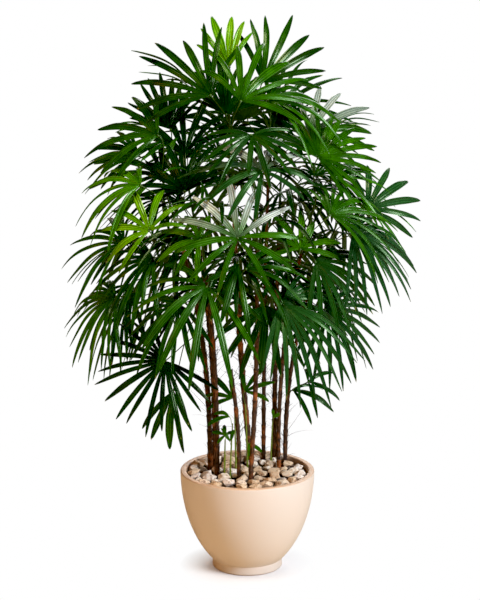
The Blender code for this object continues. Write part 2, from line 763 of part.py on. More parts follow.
def settle_leaflets(placed, rng, others):
    """Bend each leaflet a little until it is clear of what stands near it. A blocked one is None."""
    frond = placed.frond
    axes = fan_axes(frond)
    angles, half_step = leaflet_angles(frond)
    siblings = [loose_stalk(frond, placed.anchor, placed.radius, 0.0, STALK_STEPS)]
    settled = [None] * len(angles)
    for index, angle in enumerate(angles):
        own_turn = rng.uniform(-1, 1) * NATURAL_TURN
        own_sag = rng.uniform(*NATURAL_SAG)
        own_length = rng.uniform(*NATURAL_LENGTH)
        for attempt in range(TRIES):
            ease = attempt / TRIES
            turn = own_turn + rng.uniform(-1, 1) * TURN_LIMIT * ease
            lift = rng.uniform(-1, 1) * LIFT_LIMIT * ease
            sag_share = own_sag * (1.0 + rng.uniform(-0.8, 0.8) * ease)
            shrink = own_length * (1.0 - rng.uniform(0.0, 0.5) * ease * ease)
            leaflet = make_leaflet(frond, axes, angle, half_step, turn, lift, sag_share, shrink)
            outer = loose_blade(leaflet, 0.04, SIBLING_GAP)
            if not is_clear(outer, siblings):
                continue
            if not all(is_clear(loose_blade(leaflet, 0.02, swell), others) for swell in (CLEARANCE, 0.0)):
                continue
            settled[index] = leaflet
            if is_sound(*frond_lists(frond, settled, placed.anchor, placed.radius)):
                siblings.append(outer)
                break
            settled[index] = None
    return settled


def frond_lists(frond, leaflets, anchor, radius):
    points, faces, roots = hub_lists(frond)
    for root, leaflet in zip(roots, leaflets):
        if leaflet is None:
            faces.append(root)
        else:
            add_blade(points, faces, root, leaflet)
    add_stalk(points, faces, roots[-1], frond, anchor, radius)
    return points, faces


def bare_lists(frond, anchor, radius, swell):
    """The hub and stalk of a frond without its leaflets."""
    points, faces, roots = hub_lists(frond, swell)
    for root in roots[:-1]:
        faces.append(root)
    add_stalk(points, faces, roots[-1], frond, anchor, radius, swell)
    return points, faces


def loose_stalk(frond, anchor, radius, swell, steps):
    """The first steps of a stalk from the hub, on its own."""
    line = [Vector(frond.hub)] + stalk_points(frond, anchor)[:steps]
    return make_chunk(*tube_lists(line, [radius + swell] * len(line), 3, False))


def spread_directions(count, lowest, highest):
    """Directions spread evenly over a ball by the golden angle, within a band of heights."""
    for index in range(count):
        height = 1.0 - 2.0 * (index + 0.5) / count
        if lowest < height < highest:
            ring = math.sqrt(1.0 - height * height)
            angle = index * math.pi * (3.0 - math.sqrt(5.0))
            yield Vector((ring * math.cos(angle), ring * math.sin(angle), height))


def rule_fronds():
    """Fans over the far side of the crown, then a second layer inside it."""
    rng = random.Random(RULE_SEED)
    fronds = []
    for outward in spread_directions(BACK_DIRECTIONS, -0.72, 0.93):
        if outward.y > 0.10:
            fronds.append(rule_frond(rng, outward, 1.0, 7))
    for outward in spread_directions(INNER_DIRECTIONS, -0.60, 0.95):
        fronds.append(rule_frond(rng, outward, INNER_DEPTH, 6))
    return fronds


def rule_frond(rng, outward, depth, leaflets):
    """A fan that looks outward: its middle leaflet rises in the top of the crown and hangs below."""
    reach = depth * rng.uniform(0.90, 1.04)
    hub = CROWN_CENTRE + Vector(axis * share * reach for axis, share in zip(CROWN_REACH, outward))
    turn = math.degrees(math.atan2(outward.y, outward.x)) + rng.uniform(-18, 18)
    rise = 62 * outward.z - 6 + rng.uniform(-12, 12)
    if rise < 0:
        face = (turn, max(90 + rise, 30))
        clock = 180 + rng.uniform(-25, 25)
    else:
        face = (turn + 180, max(90 - rise, 35))
        clock = rng.uniform(-25, 25)
    droop = 0.20 + 0.30 * (1.0 - abs(outward.z))
    span = rng.uniform(170, 230)
    return Frond(tuple(hub), face, clock, span, leaflets, rng.uniform(0.215, 0.255), droop, True)


class Growth(NamedTuple):
    """A frond, the places on the stems that it can grow from, best first, and its stalk's thickness."""
    frond: Frond
    choices: list
    radius: float


class Placed(NamedTuple):
    """A frond in its place, with its stem and the place inside that stem."""
    frond: Frond
    owner: str
    anchor: Vector
    radius: float


def stem_choices(frond):
    """Places on the green stems, from the one that lies best below a fan onwards."""
    hub = Vector(frond.hub)
    rise = -0.30 if fan_axes(frond)[0].z < -0.35 else 0.60
    choices = []
    for number, cane in enumerate(CANES, 1):
        start = share_at_height(cane, cane.crown_start + 0.02)
        for step in range(21):
            point = stem_point(cane, start + (0.93 - start) * step / 20)
            flat = math.hypot(hub.x - point.x, hub.y - point.y)
            wanted = hub.z - 0.03 - rise * flat
            choices.append((1.4 * flat + abs(wanted - point.z), number, step, point))
    choices.sort(key=lambda choice: choice[:3])
    return [("crown_%02d" % number, point) for _, number, _, point in choices[:ANCHOR_CHOICES]]


def plan_growth():
    """Every frond with its stem, those of the shown side first."""
    growths = []
    for frond in (*FRONT_FRONDS, *rule_fronds()):
        growths.append(Growth(frond, stem_choices(frond), STALK_RADIUS))
    for number, shoot in enumerate(SHOOTS, 1):
        for frond in shoot.fronds:
            low = Vector((*shoot.foot, LEAN_START))
            top = Vector(shoot.top)
            height = min(frond.hub[2] - 0.02, top.z - 0.008)
            share = max(0.05, (height - low.z) / (top.z - low.z))
            choice = ("shoot_%02d" % number, low.lerp(top, share))
            growths.append(Growth(frond, [choice], SHOOT_STALK_RADIUS))
    return growths


def shifted(frond, rng, amount):
    hub = tuple(value + rng.uniform(-amount, amount) for value in frond.hub)
    return frond._replace(hub=hub)


def shoot_lists(shoot):
    low = Vector((*shoot.foot, LEAN_START))
    top = Vector(shoot.top)
    centres = [Vector((*shoot.foot, ROOT_DEPTH)), low, low.lerp(top, 0.5), top]
    radii = [shoot.radius, shoot.radius, shoot.radius * 0.9, shoot.radius * 0.6]
    return tube_lists(centres, radii, SHOOT_SIDES, True)


def find_place(growth, rng, solid_stems, hubs):
    """Move a fan a little, and its stalk from stem to stem, until both are clear of all before."""
    for attempt in range(TRIES):
        ease = attempt / TRIES
        owner, anchor = growth.choices[int(ease ** 1.5 * (len(growth.choices) - 1))]
        frond = shifted(growth.frond, rng, HUB_SHIFT * ease)
        others = [chunk for name, chunk in solid_stems if name != owner]
        others += [chunk for name, chunk, _ in hubs if name != owner]
        plain = bare_lists(frond, anchor, growth.radius, 0.0)
        if not is_sound(*plain) or not is_clear(make_chunk(*plain), others):
            continue
        if not is_clear(make_chunk(*bare_lists(frond, anchor, growth.radius, CLEARANCE)), others):
            continue
        near = [chunk for name, _, chunk in hubs if name == owner]
        if is_clear(loose_stalk(frond, anchor, growth.radius, CLEARANCE, STALK_STEPS - 1), near):
            return Placed(frond, owner, anchor, growth.radius)
    return None


def plan_stems():
    """The shapes of the green stems by name, and every stem as something to keep clear of."""
    stems = {}
    chunks = []
    for number, cane in enumerate(CANES, 1):
        chunks.append((None, make_chunk(*cane_lists(cane, cane.crown_start))))
        stems["crown_%02d" % number] = core_lists(cane)
    chunks.append((None, make_chunk(*cane_lists(BROKEN_CANE, BROKEN_CANE.crown_start))))
    for number, shoot in enumerate(SHOOTS, 1):
        stems["shoot_%02d" % number] = shoot_lists(shoot)
    for owner, lists in stems.items():
        chunks.append((owner, make_chunk(*lists)))
    return stems, chunks


def place_fronds(stem_chunks):
    """Give every hub and stalk its place. A frond for which there is none is left out."""
    fronds = []
    hubs = []
    for index, growth in enumerate(plan_growth()):
        placed = find_place(growth, random.Random(1000 + index), stem_chunks, hubs)
        if placed is None:
            continue
        fronds.append(placed)
        whole = make_chunk(*bare_lists(placed.frond, placed.anchor, placed.radius, 0.0))
        upper_part = loose_stalk(placed.frond, placed.anchor, placed.radius, 0.0, STALK_STEPS - 1)
        hubs.append((placed.owner, whole, upper_part))
    return fronds, hubs


def grow_fronds(fronds, hubs, stem_chunks):
    """Grow the leaflets of one frond after the other, and gather the fronds' shapes by stem."""
    shapes = {}
    grown = []
    for index, placed in enumerate(fronds):
        rng = random.Random(5000 + index)
        others = [chunk for _, chunk in stem_chunks] + grown
        others += [chunk for number, (_, chunk, _) in enumerate(hubs) if number != index]
        leaflets = settle_leaflets(placed, rng, others)
        lists = frond_lists(placed.frond, leaflets, placed.anchor, placed.radius)
        shapes.setdefault(placed.owner, []).append(lists)
        grown.append(make_chunk(*lists))
    return shapes


def grow_plant(materials):
    stems, stem_chunks = plan_stems()
    fronds, hubs = place_fronds(stem_chunks)
    shapes = grow_fronds(fronds, hubs, stem_chunks)
    for owner, lists in stems.items():
        material = materials["leaf green" if owner.startswith("crown") else "shoot green"]
        stem = add_object(owner, mesh_from_lists(owner, *lists), material)
        fans = [add_object("fan", mesh_from_lists("fan", *shape), material) for shape in shapes[owner]]
        apply_boolean(stem, fans, "UNION")


def make_canes(material):
    for number, cane in enumerate(CANES, 1):
        name = "cane_%02d" % number
        add_object(name, mesh_from_lists(name, *cane_lists(cane, cane.crown_start)), material)
    lists = cane_lists(BROKEN_CANE, BROKEN_CANE.crown_start)
    add_object("cane_10_broken", mesh_from_lists("cane_10_broken", *lists), material)
    lists = tube_lists([Vector((*STUB.foot, ROOT_DEPTH)), Vector((*STUB.foot, STUB.crown_start))],
                       [STUB.radius] * 2, CANE_SIDES, True)
    add_object("cane_11_stub", mesh_from_lists("cane_11_stub", *lists), material)


def main():
    clear_scene()
    materials = {name: make_material(name) for name in MATERIALS}
    make_pot(materials["glazed clay"])
    soil = make_soil(materials["potting soil"])
    apply_boolean(soil, stem_holes(materials["potting soil"]), "DIFFERENCE")
    make_chips(materials["limestone chips"])
    make_canes(materials["fibrous cane"])
    grow_plant(materials)


main()
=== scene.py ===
# %% [markdown]
# A lady palm in a round pot, dressed for a studio picture.
#
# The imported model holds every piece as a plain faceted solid: a pot, its soil, a bed of
# stone chips, eleven canes, nine leafy crowns and five young shoots. This lesson keeps their
# places and builds the surfaces that the eye sees: pleated leaflets, fibrous canes, chips of
# true size and a pot with a satin glaze. Everything is in metres, +Z up, and the plant is seen
# from -Y.

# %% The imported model, loaded as the frame that every piece is built in
import math
import random
from typing import NamedTuple

import bmesh
import bpy
from mathutils import Matrix, Vector, noise
from mathutils.bvhtree import BVHTree
from mathutils.geometry import intersect_ray_tri


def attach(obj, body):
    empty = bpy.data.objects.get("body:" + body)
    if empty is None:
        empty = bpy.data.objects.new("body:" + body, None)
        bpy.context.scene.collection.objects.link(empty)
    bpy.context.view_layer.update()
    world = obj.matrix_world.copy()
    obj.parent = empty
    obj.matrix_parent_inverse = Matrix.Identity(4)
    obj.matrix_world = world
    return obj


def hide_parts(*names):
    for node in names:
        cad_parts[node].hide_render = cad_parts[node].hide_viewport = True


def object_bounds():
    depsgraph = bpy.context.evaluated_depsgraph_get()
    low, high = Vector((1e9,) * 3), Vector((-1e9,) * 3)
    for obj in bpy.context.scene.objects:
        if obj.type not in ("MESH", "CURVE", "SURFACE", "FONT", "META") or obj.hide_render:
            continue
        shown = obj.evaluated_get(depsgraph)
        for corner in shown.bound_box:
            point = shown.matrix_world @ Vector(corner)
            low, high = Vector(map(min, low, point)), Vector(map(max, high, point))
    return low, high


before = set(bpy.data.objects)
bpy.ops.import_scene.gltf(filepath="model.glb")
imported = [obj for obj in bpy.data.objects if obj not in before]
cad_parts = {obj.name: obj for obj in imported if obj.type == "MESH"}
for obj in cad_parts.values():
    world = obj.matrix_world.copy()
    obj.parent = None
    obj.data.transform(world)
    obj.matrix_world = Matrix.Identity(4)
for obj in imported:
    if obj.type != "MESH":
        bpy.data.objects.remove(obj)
cad_low, cad_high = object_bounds()
print("solids in the frame:", len(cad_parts))
print("size in metres:", [round(value, 3) for value in cad_high - cad_low])

# %% [markdown]
# Colours are easiest to pick as the sRGB hex values of a colour picker, but a shader adds and
# multiplies light, so it needs linear values. One function turns one into the other. A second
# one adds a shader node with its settings and its links, so that each material below reads as
# a list of steps. A third one starts an empty material.

# %% Three helpers for all the materials


def linear(hex_colour):
    """An sRGB hex colour as linear red, green, blue and an alpha of 1."""
    values = []
    for start in (1, 3, 5):
        value = int(hex_colour[start:start + 2], 16) / 255
        values.append(value / 12.92 if value <= 0.04045 else ((value + 0.055) / 1.055) ** 2.4)
    return (*values, 1.0)


def add_node(tree, kind, settings=None, links=None, stops=None):
    """Add a shader node. Settings are its own properties or the values of its inputs.

    A Mix node for colours has its share at input 0, its colours at 6 and 7, and gives output 2.
    """
    node = tree.nodes.new("ShaderNode" + kind)
    for name, value in (settings or {}).items():
        if isinstance(name, str) and name in node.bl_rna.properties:
            setattr(node, name, value)
        else:
            node.inputs[name].default_value = value
    for name, socket in (links or {}).items():
        tree.links.new(socket, node.inputs[name])
    if stops:
        ramp = node.color_ramp
        while len(ramp.elements) < len(stops):
            ramp.elements.new(0.5)
        for element, (position, colour) in zip(ramp.elements, stops):
            element.position = position
            element.color = linear(colour)
    return node


def new_material(name):
    """A material with only its output node left."""
    material = bpy.data.materials.new(name)
    material.use_nodes = True
    tree = material.node_tree
    tree.nodes.remove(tree.nodes["Principled BSDF"])
    return material, tree, tree.nodes["Material Output"]


print("mid grey in linear light:", round(linear("#808080")[0], 3))

# %% [markdown]
# The picture is a product shot: a long lens, held higher than the top of the plant, in front of
# pure white. The camera stands 5.85 m away and looks down by 12.5 degrees, which is what the
# ellipse of the pot's rim and the slight narrowing of the pot ask for. A studio lights such a
# plant with large soft boxes. The strongest one is on the right, because the right side of the
# pot is pale and the left side is in warm shade.

# %% Camera and soft boxes
CAMERA_PLACE = (-0.023, -5.85, 2.155)
CAMERA_PITCH = 12.5
FOCAL_LENGTH = 116.8
SENSOR = 36.0
AIM = Vector((0.0, 0.0, 0.95))

camera_data = bpy.data.cameras.new("camera")
camera_data.lens = FOCAL_LENGTH
camera_data.sensor_width = SENSOR
camera = bpy.data.objects.new("camera", camera_data)
camera.location = CAMERA_PLACE
camera.rotation_euler = (math.radians(90.0 - CAMERA_PITCH), 0.0, 0.0)
bpy.context.scene.collection.objects.link(camera)
bpy.context.scene.camera = camera


def add_softbox(name, place, width, height, power, colour="#FFFFFF"):
    """A rectangular lamp that faces the middle of the plant."""
    data = bpy.data.lights.new(name, "AREA")
    data.shape = "RECTANGLE"
    data.size = width
    data.size_y = height
    data.energy = power
    data.color = linear(colour)[:3]
    lamp = bpy.data.objects.new(name, data)
    lamp.location = place
    lamp.rotation_euler = (AIM - Vector(place)).to_track_quat("-Z", "Y").to_euler()
    bpy.context.scene.collection.objects.link(lamp)


add_softbox("key_box", (3.1, -2.6, 2.5), 1.2, 2.0, 235.0, "#EAF2FF")
add_softbox("top_box", (-0.4, -1.2, 4.2), 1.4, 1.4, 130.0, "#FFEEDC")
add_softbox("left_box", (-3.4, -2.4, 2.0), 0.8, 2.6, 30.0, "#FFB25A")
add_softbox("back_box", (0.8, 3.4, 2.9), 2.4, 1.8, 70.0)

# %% [markdown]
# Behind the plant there is nothing but white. The world is white for the camera. For all other
# rays it is a white wall behind the plant and a dim room in front of it, so that leaves glint
# where they mirror the wall and keep deep shadows between them. The room's left side is warmer,
# like a wooden wall, which is what the shaded side of the pot shows. The floor is a plain white
# sweep: for the camera part of its light is its own, more and more so further out, which keeps
# its shadow soft and lets it fade into the white, and it throws only a little warm light back up
# at the pot. Product shots have deep blacks, so the picture's black level is raised a little.

# %% World and floor
ROOM_LIGHT = 0.05
WALL_LIGHT = 0.55
WALL_EDGES = (0.35, 0.90)
SIDE_EDGES = (-1.0, 0.4)
WARM_SIDE = "#FFB060"
COOL_SIDE = "#EAF2FF"
FLOOR_GLOW = (0.15, 1.0)
FLOOR_FADE = (0.115, 0.215)
FLOOR_SIZE = 40.0
BOUNCE_COLOUR = "#D0BA98"
BLACK_LEVEL = 0.006

world = bpy.data.worlds.new("white studio")
bpy.context.scene.world = world
world.use_nodes = True
sky = world.node_tree
sky_output = sky.nodes["World Output"]
sky.nodes.remove(sky.nodes["Background"])
seen_white = add_node(sky, "Background", {"Color": linear("#FFFFFF"), "Strength": 1.0})
way = add_node(sky, "SeparateXYZ", links={"Vector": add_node(sky, "TexCoord").outputs["Generated"]})
light = add_node(sky, "MapRange", {"From Min": WALL_EDGES[0], "From Max": WALL_EDGES[1],
                                   "To Min": ROOM_LIGHT, "To Max": WALL_LIGHT}, {"Value": way.outputs["Y"]})
sideways = add_node(sky, "MapRange", {"From Min": SIDE_EDGES[0], "From Max": SIDE_EDGES[1]},
                    {"Value": way.outputs["X"]})
room_colour = add_node(sky, "ValToRGB", links={"Fac": sideways.outputs["Result"]},
                       stops=((0.0, WARM_SIDE), (1.0, COOL_SIDE)))
dim_white = add_node(sky, "Background", links={"Color": room_colour.outputs["Color"],
                                               "Strength": light.outputs["Result"]})
seen = add_node(sky, "LightPath").outputs["Is Camera Ray"]
sky_mix = add_node(sky, "MixShader", links={0: seen, 1: dim_white.outputs[0], 2: seen_white.outputs[0]})
sky.links.new(sky_mix.outputs[0], sky_output.inputs["Surface"])

floor_paint, tree, output = new_material("white paper sweep")
place = add_node(tree, "TexCoord").outputs["Object"]
distance = add_node(tree, "VectorMath", {"operation": "LENGTH"}, {0: place})
share = add_node(tree, "MapRange", {"From Min": FLOOR_FADE[0], "From Max": FLOOR_FADE[1],
                                    "To Min": FLOOR_GLOW[0], "To Max": FLOOR_GLOW[1]},
                 {"Value": distance.outputs["Value"]})
seen = add_node(tree, "LightPath").outputs["Is Camera Ray"]
seen_share = add_node(tree, "Math", {"operation": "MULTIPLY"}, {0: share.outputs["Result"], 1: seen})
shade = add_node(tree, "Mix", {"data_type": "RGBA", 6: linear(BOUNCE_COLOUR), 7: linear("#F7F7F7")},
                 {0: seen})
paper = add_node(tree, "BsdfDiffuse", links={"Color": shade.outputs[2]})
glow = add_node(tree, "Emission", {"Color": linear("#FFFFFF"), "Strength": 1.0})
mixed = add_node(tree, "MixShader",
                 links={0: seen_share.outputs[0], 1: paper.outputs[0], 2: glow.outputs[0]})
tree.links.new(mixed.outputs[0], output.inputs["Surface"])

bm = bmesh.new()
bmesh.ops.create_grid(bm, x_segments=1, y_segments=1, size=FLOOR_SIZE / 2)
floor_mesh = bpy.data.meshes.new("floor")
bm.to_mesh(floor_mesh)
bm.free()
floor_mesh.materials.append(floor_paint)
floor = bpy.data.objects.new("floor", floor_mesh)
bpy.context.scene.collection.objects.link(floor)

view = bpy.context.scene.view_settings
view.view_transform = "Standard"
view.use_curve_mapping = True
view.curve_mapping.black_level = (BLACK_LEVEL, BLACK_LEVEL, BLACK_LEVEL)
view.curve_mapping.update()
print("floor of", FLOOR_SIZE, "m, wall at", WALL_LIGHT)

# %% [markdown]
# The driving sizes of the plant are the same as those of the solid model. A cane is a foot in
# the soil, a thickness, the height where its green crown begins, the place of its tip and a
# bow. A frond is a fan: the place of its hub, where its upper face looks, the clock angle of
# its middle leaflet, the spread, the number of leaflets, their length and how far they droop.

# %% The canes, the fronds and the shoots
ROOT_DEPTH = 0.200
LEAN_START = 0.345
SOIL_TOP = 0.280
GAP = 0.0005


class Cane(NamedTuple):
    """A cane: its foot, its thickness, where its leafy crown begins, where that ends and its bow."""
    foot: tuple
    radius: float
    crown_start: float
    tip: tuple
    bow: tuple = (0.0, 0.0)


class Frond(NamedTuple):
    """A fan of leaflets. A simple one grows on the hidden side or inside the crown."""
    hub: tuple
    face: tuple
    clock: float
    span: float
    leaflets: int
    length: float
    droop: float
    simple: bool = False


class Shoot(NamedTuple):
    """A young shoot: its foot, its top, its thickness and its small fans."""
    foot: tuple
    top: tuple
    radius: float
    fronds: tuple


CANES = (
    Cane((-0.117, 0.020), 0.0078, 0.76, (-0.270, 0.000, 1.27)),
    Cane((-0.104, 0.064), 0.0058, 0.80, (-0.200, 0.220, 1.26)),
    Cane((-0.095, -0.022), 0.0078, 0.74, (-0.140, -0.170, 1.10)),
    Cane((0.008, 0.096), 0.0088, 0.84, (-0.060, 0.010, 1.47), (-0.060, 0.0)),
    Cane((0.011, -0.086), 0.0072, 0.80, (0.030, -0.210, 1.22), (0.030, 0.0)),
    Cane((0.052, 0.113), 0.0064, 0.92, (0.070, 0.060, 1.43)),
    Cane((0.087, 0.136), 0.0074, 0.80, (0.110, 0.270, 1.27)),
    Cane((0.099, 0.082), 0.0062, 0.78, (0.215, -0.060, 1.22)),
    Cane((0.121, 0.106), 0.0070, 0.50, (0.285, 0.090, 1.10)),
)
BROKEN_CANE = Cane((-0.026, -0.065), 0.0062, 0.647, (-0.052, -0.060, 0.647))
STUB = Cane((0.100, 0.036), 0.0062, 0.348, (0.100, 0.036, 0.348))

FRONT_FRONDS = (
    # Left
    Frond((-0.19, 0.05, 1.30), (-100, 28), -16, 95, 6, 0.28, 0.10),
    Frond((-0.26, 0.00, 1.25), (-105, 35), -60, 150, 8, 0.27, 0.22),
    Frond((-0.27, -0.02, 1.37), (-105, 38), -76, 130, 7, 0.25, 0.15),
    Frond((-0.32, -0.10, 1.23), (-115, 52), -90, 140, 8, 0.235, 0.45),
    Frond((-0.292, -0.182, 1.108), (-100, 30), -38, 210, 8, 0.19, 0.20),
    Frond((-0.375, -0.05, 1.045), (-115, 45), -80, 160, 9, 0.23, 0.34),
    Frond((-0.281, -0.139, 1.018), (-115, 40), -125, 150, 6, 0.22, 0.35),
    Frond((-0.40, -0.08, 0.885), (-130, 40), -122, 180, 8, 0.215, 0.45),
    Frond((-0.35, 0.12, 0.84), (-160, 45), -150, 160, 7, 0.24, 0.45),
    Frond((-0.201, -0.151, 0.876), (-110, 38), -150, 170, 6, 0.22, 0.30),
    Frond((-0.25, -0.12, 0.695), (-95, 22), -135, 225, 9, 0.235, 0.10),
    Frond((-0.23, -0.02, 0.575), (-100, 15), -174, 70, 5, 0.20, 0.05),
    Frond((-0.165, -0.08, 1.065), (-105, 50), -80, 120, 7, 0.20, 0.35),
    Frond((-0.141, -0.219, 1.088), (-98, 38), -48, 260, 8, 0.14, 0.25),
    Frond((-0.121, -0.25, 0.953), (-90, 40), -146, 200, 9, 0.27, 0.30),
    # Middle
    Frond((-0.03, -0.269, 1.103), (-88, 30), -6, 300, 11, 0.23, 0.10),
    Frond((0.041, -0.232, 1.295), (-85, 40), -24, 290, 10, 0.20, 0.20),
    Frond((-0.02, -0.145, 1.488), (-82, 35), 32, 140, 8, 0.27, 0.12),
    Frond((-0.055, 0.03, 1.57), (-100, 20), -12, 80, 6, 0.19, 0.05),
    Frond((-0.11, -0.10, 1.50), (-100, 30), -44, 130, 9, 0.295, 0.06),
    Frond((0.045, 0.03, 1.525), (-80, 20), 34, 110, 8, 0.265, 0.08),
    Frond((0.06, -0.10, 1.485), (-70, 55), 92, 110, 7, 0.26, 0.38),
    Frond((0.10, 0.15, 1.35), (-85, 20), -25, 160, 7, 0.18, 0.12),
    Frond((0.01, -0.163, 1.391), (-88, 42), 178, 210, 7, 0.20, 0.15),
    Frond((-0.03, -0.232, 1.021), (-90, 25), -170, 80, 5, 0.24, 0.05),
    Frond((-0.005, -0.256, 1.008), (-75, 52), 80, 120, 6, 0.27, 0.45),
    Frond((0.056, -0.219, 0.891), (-88, 25), -174, 110, 7, 0.235, 0.05),
    # Right
    Frond((0.156, -0.182, 1.053), (-80, 30), 6, 190, 7, 0.17, 0.12),
    Frond((0.21, -0.08, 1.31), (-75, 32), 48, 210, 9, 0.22, 0.12),
    Frond((0.185, 0.02, 1.365), (-75, 35), 58, 120, 7, 0.265, 0.12),
    Frond((0.25, -0.10, 1.25), (-65, 50), 82, 140, 8, 0.24, 0.34),
    Frond((0.242, -0.194, 1.157), (-68, 45), 62, 160, 7, 0.265, 0.42),
    Frond((0.365, 0.03, 1.135), (-75, 28), 55, 130, 7, 0.215, 0.14),
    Frond((0.311, -0.139, 1.088), (-70, 42), 94, 215, 10, 0.225, 0.45),
    Frond((0.201, -0.176, 1.013), (-75, 38), 124, 150, 6, 0.22, 0.35),
    Frond((0.097, -0.263, 0.905), (-72, 45), 126, 170, 9, 0.275, 0.32),
    Frond((0.235, -0.10, 0.85), (-68, 35), 128, 240, 9, 0.21, 0.28),
    Frond((0.19, 0.02, 0.592), (-85, 45), 82, 170, 4, 0.125, 0.30),
    Frond((0.145, 0.07, 0.552), (-85, 45), 108, 90, 3, 0.145, 0.30),
    # Behind these, where the crown is dense
    Frond((-0.14, -0.03, 1.475), (5, 42), 0, 100, 6, 0.28, 0.16),
    Frond((0.00, 0.15, 1.40), (85, 35), 5, 210, 8, 0.24, 0.12, True),
    Frond((-0.235, 0.08, 1.375), (-98, 22), -14, 110, 6, 0.21, 0.06, True),
    Frond((-0.065, -0.03, 1.435), (-92, 24), 2, 130, 7, 0.22, 0.08, True),
    Frond((-0.33, 0.03, 1.30), (-105, 45), -84, 110, 6, 0.20, 0.20, True),
    Frond((-0.36, -0.01, 0.91), (-120, 35), -165, 100, 6, 0.24, 0.25, True),
    Frond((-0.19, -0.05, 1.205), (-100, 25), -20, 170, 7, 0.21, 0.10, True),
)

SHOOTS = (
    Shoot((-0.071, -0.048), (-0.069, -0.046, 0.425), 0.0030, (
        Frond((-0.069, -0.050, 0.440), (-90, 30), -35, 190, 4, 0.050, 0.15),
    )),
    Shoot((-0.053, -0.058), (-0.046, -0.058, 0.480), 0.0028, (
        Frond((-0.054, -0.064, 0.425), (-90, 10), -4, 60, 2, 0.075, 0.05),
        Frond((-0.056, -0.060, 0.502), (-95, 50), -78, 50, 2, 0.100, 0.30),
    )),
    Shoot((-0.036, 0.010), (-0.040, 0.008, 0.500), 0.0030, (
        Frond((-0.046, 0.000, 0.545), (-90, 25), -54, 100, 4, 0.120, 0.20),
    )),
    Shoot((0.000, 0.036), (-0.006, 0.022, 0.520), 0.0030, (
        Frond((-0.008, 0.008, 0.565), (-85, 25), 50, 110, 4, 0.115, 0.15),
        Frond((0.004, 0.012, 0.395), (-85, 25), 145, 60, 2, 0.070, 0.20),
    )),
    Shoot((0.076, 0.086), (0.080, 0.078, 0.450), 0.0026, (
        Frond((0.083, 0.066, 0.462), (-85, 20), 20, 50, 2, 0.050, 0.05),
    )),
)
print("canes:", len(CANES) + 2, "shown fronds:", len(FRONT_FRONDS), "shoots:", len(SHOOTS))

# %% [markdown]
# A stem leans out from its foot along one smooth cubic curve. Bowed canes have their first
# control point pulled aside. The same curve carries the solid cane and the fine one.

# %% The line of a stem


def stem_point(cane, share):
    """A point on a cane's middle line, from the chips (0) to the crown's tip (1)."""
    foot = Vector((*cane.foot, LEAN_START))
    tip = Vector(cane.tip)
    rise = tip.z - LEAN_START
    low = foot + Vector((*cane.bow, 0.5 * rise))
    high = foot.lerp(tip, 0.55)
    high.z = LEAN_START + 0.74 * rise
    rest = 1.0 - share
    near_foot = foot * rest ** 3 + low * (3 * rest * rest * share)
    return near_foot + high * (3 * rest * share * share) + tip * share ** 3


def share_at_height(cane, height):
    low, high = 0.0, 1.0
    for _ in range(40):
        middle = (low + high) / 2
        if stem_point(cane, middle).z < height:
            low = middle
        else:
            high = middle
    return (low + high) / 2


print("middle of the first cane:", [round(value, 3) for value in stem_point(CANES[0], 0.5)])

# %% [markdown]
# Every hub, stalk and leaflet has to land where its solid one is. The solid model found those
# places by trying: a plain shape stands for each leaflet, and one that touches what grew before
# is turned, lifted or shortened a little and tried again. The same trials with the same seeded
# draws give the same places here, so the plain shapes come first. A tube with five or six sides
# stands for a stem.

# %% Plain tubes that stand for the stems while places are tried
CANE_SIDES = 6
SHOOT_SIDES = 5
CORE_SIDES = 5
CANE_STEP = 0.085
CORE_START_SHARE = 0.96
CORE_TIP_RADIUS = 0.0028


def tube_lists(centres, radii, sides, level_ends):
    """Corner points and faces of a closed tube. With level ends, its first and last rings are level."""
    points = []
    for index, (centre, radius) in enumerate(zip(centres, radii)):
        before = centres[max(index - 1, 0)]
        after = centres[min(index + 1, len(centres) - 1)]
        along = (after - before).normalized()
        if level_ends and index in (0, 1, len(centres) - 1):
            along = Vector((0, 0, 1))
        across = Vector((0, 1, 0)).cross(along).normalized()
        other = along.cross(across)
        for side in range(sides):
            angle = math.tau * side / sides
            points.append(centre + across * (radius * math.cos(angle)) + other * (radius * math.sin(angle)))
    faces = []
    for ring in range(len(centres) - 1):
        for side in range(sides):
            here = ring * sides + side
            beside = ring * sides + (side + 1) % sides
            faces.append((here, beside, here + sides))
            faces.append((beside, beside + sides, here + sides))
    last = (len(centres) - 1) * sides
    for side in range(1, sides - 1):
        faces.append((0, side + 1, side))
        faces.append((last, last + side, last + side + 1))
    return points, faces


def cane_lists(cane):
    """A cane from its root, straight up through the chips, then along its leaning line."""
    centres = [Vector((*cane.foot, ROOT_DEPTH)), Vector((*cane.foot, LEAN_START))]
    end = share_at_height(cane, cane.crown_start)
    steps = max(1, round((cane.crown_start - LEAN_START) / CANE_STEP))
    for step in range(1, steps + 1):
        centres.append(stem_point(cane, end * step / steps))
    centres[-1].z = cane.crown_start
    radii = [cane.radius] * len(centres)
    return tube_lists(centres, radii, CANE_SIDES, True)


def core_radius(cane, share):
    return cane.radius * CORE_START_SHARE * (1.0 - share) + CORE_TIP_RADIUS * share


def core_lists(cane):
    """The green upper stem of a cane, thinning to the tip of its newest, unopened leaf."""
    start = share_at_height(cane, cane.crown_start)
    steps = max(3, round((cane.tip[2] - cane.crown_start) / (1.6 * CANE_STEP)))
    centres = []
    radii = []
    for step in range(steps + 1):
        share = step / steps
        centres.append(stem_point(cane, start + (1.0 - start) * share))
        radii.append(core_radius(cane, share))
    centres[0].z = cane.crown_start + GAP
    return tube_lists(centres, radii, CORE_SIDES, True)


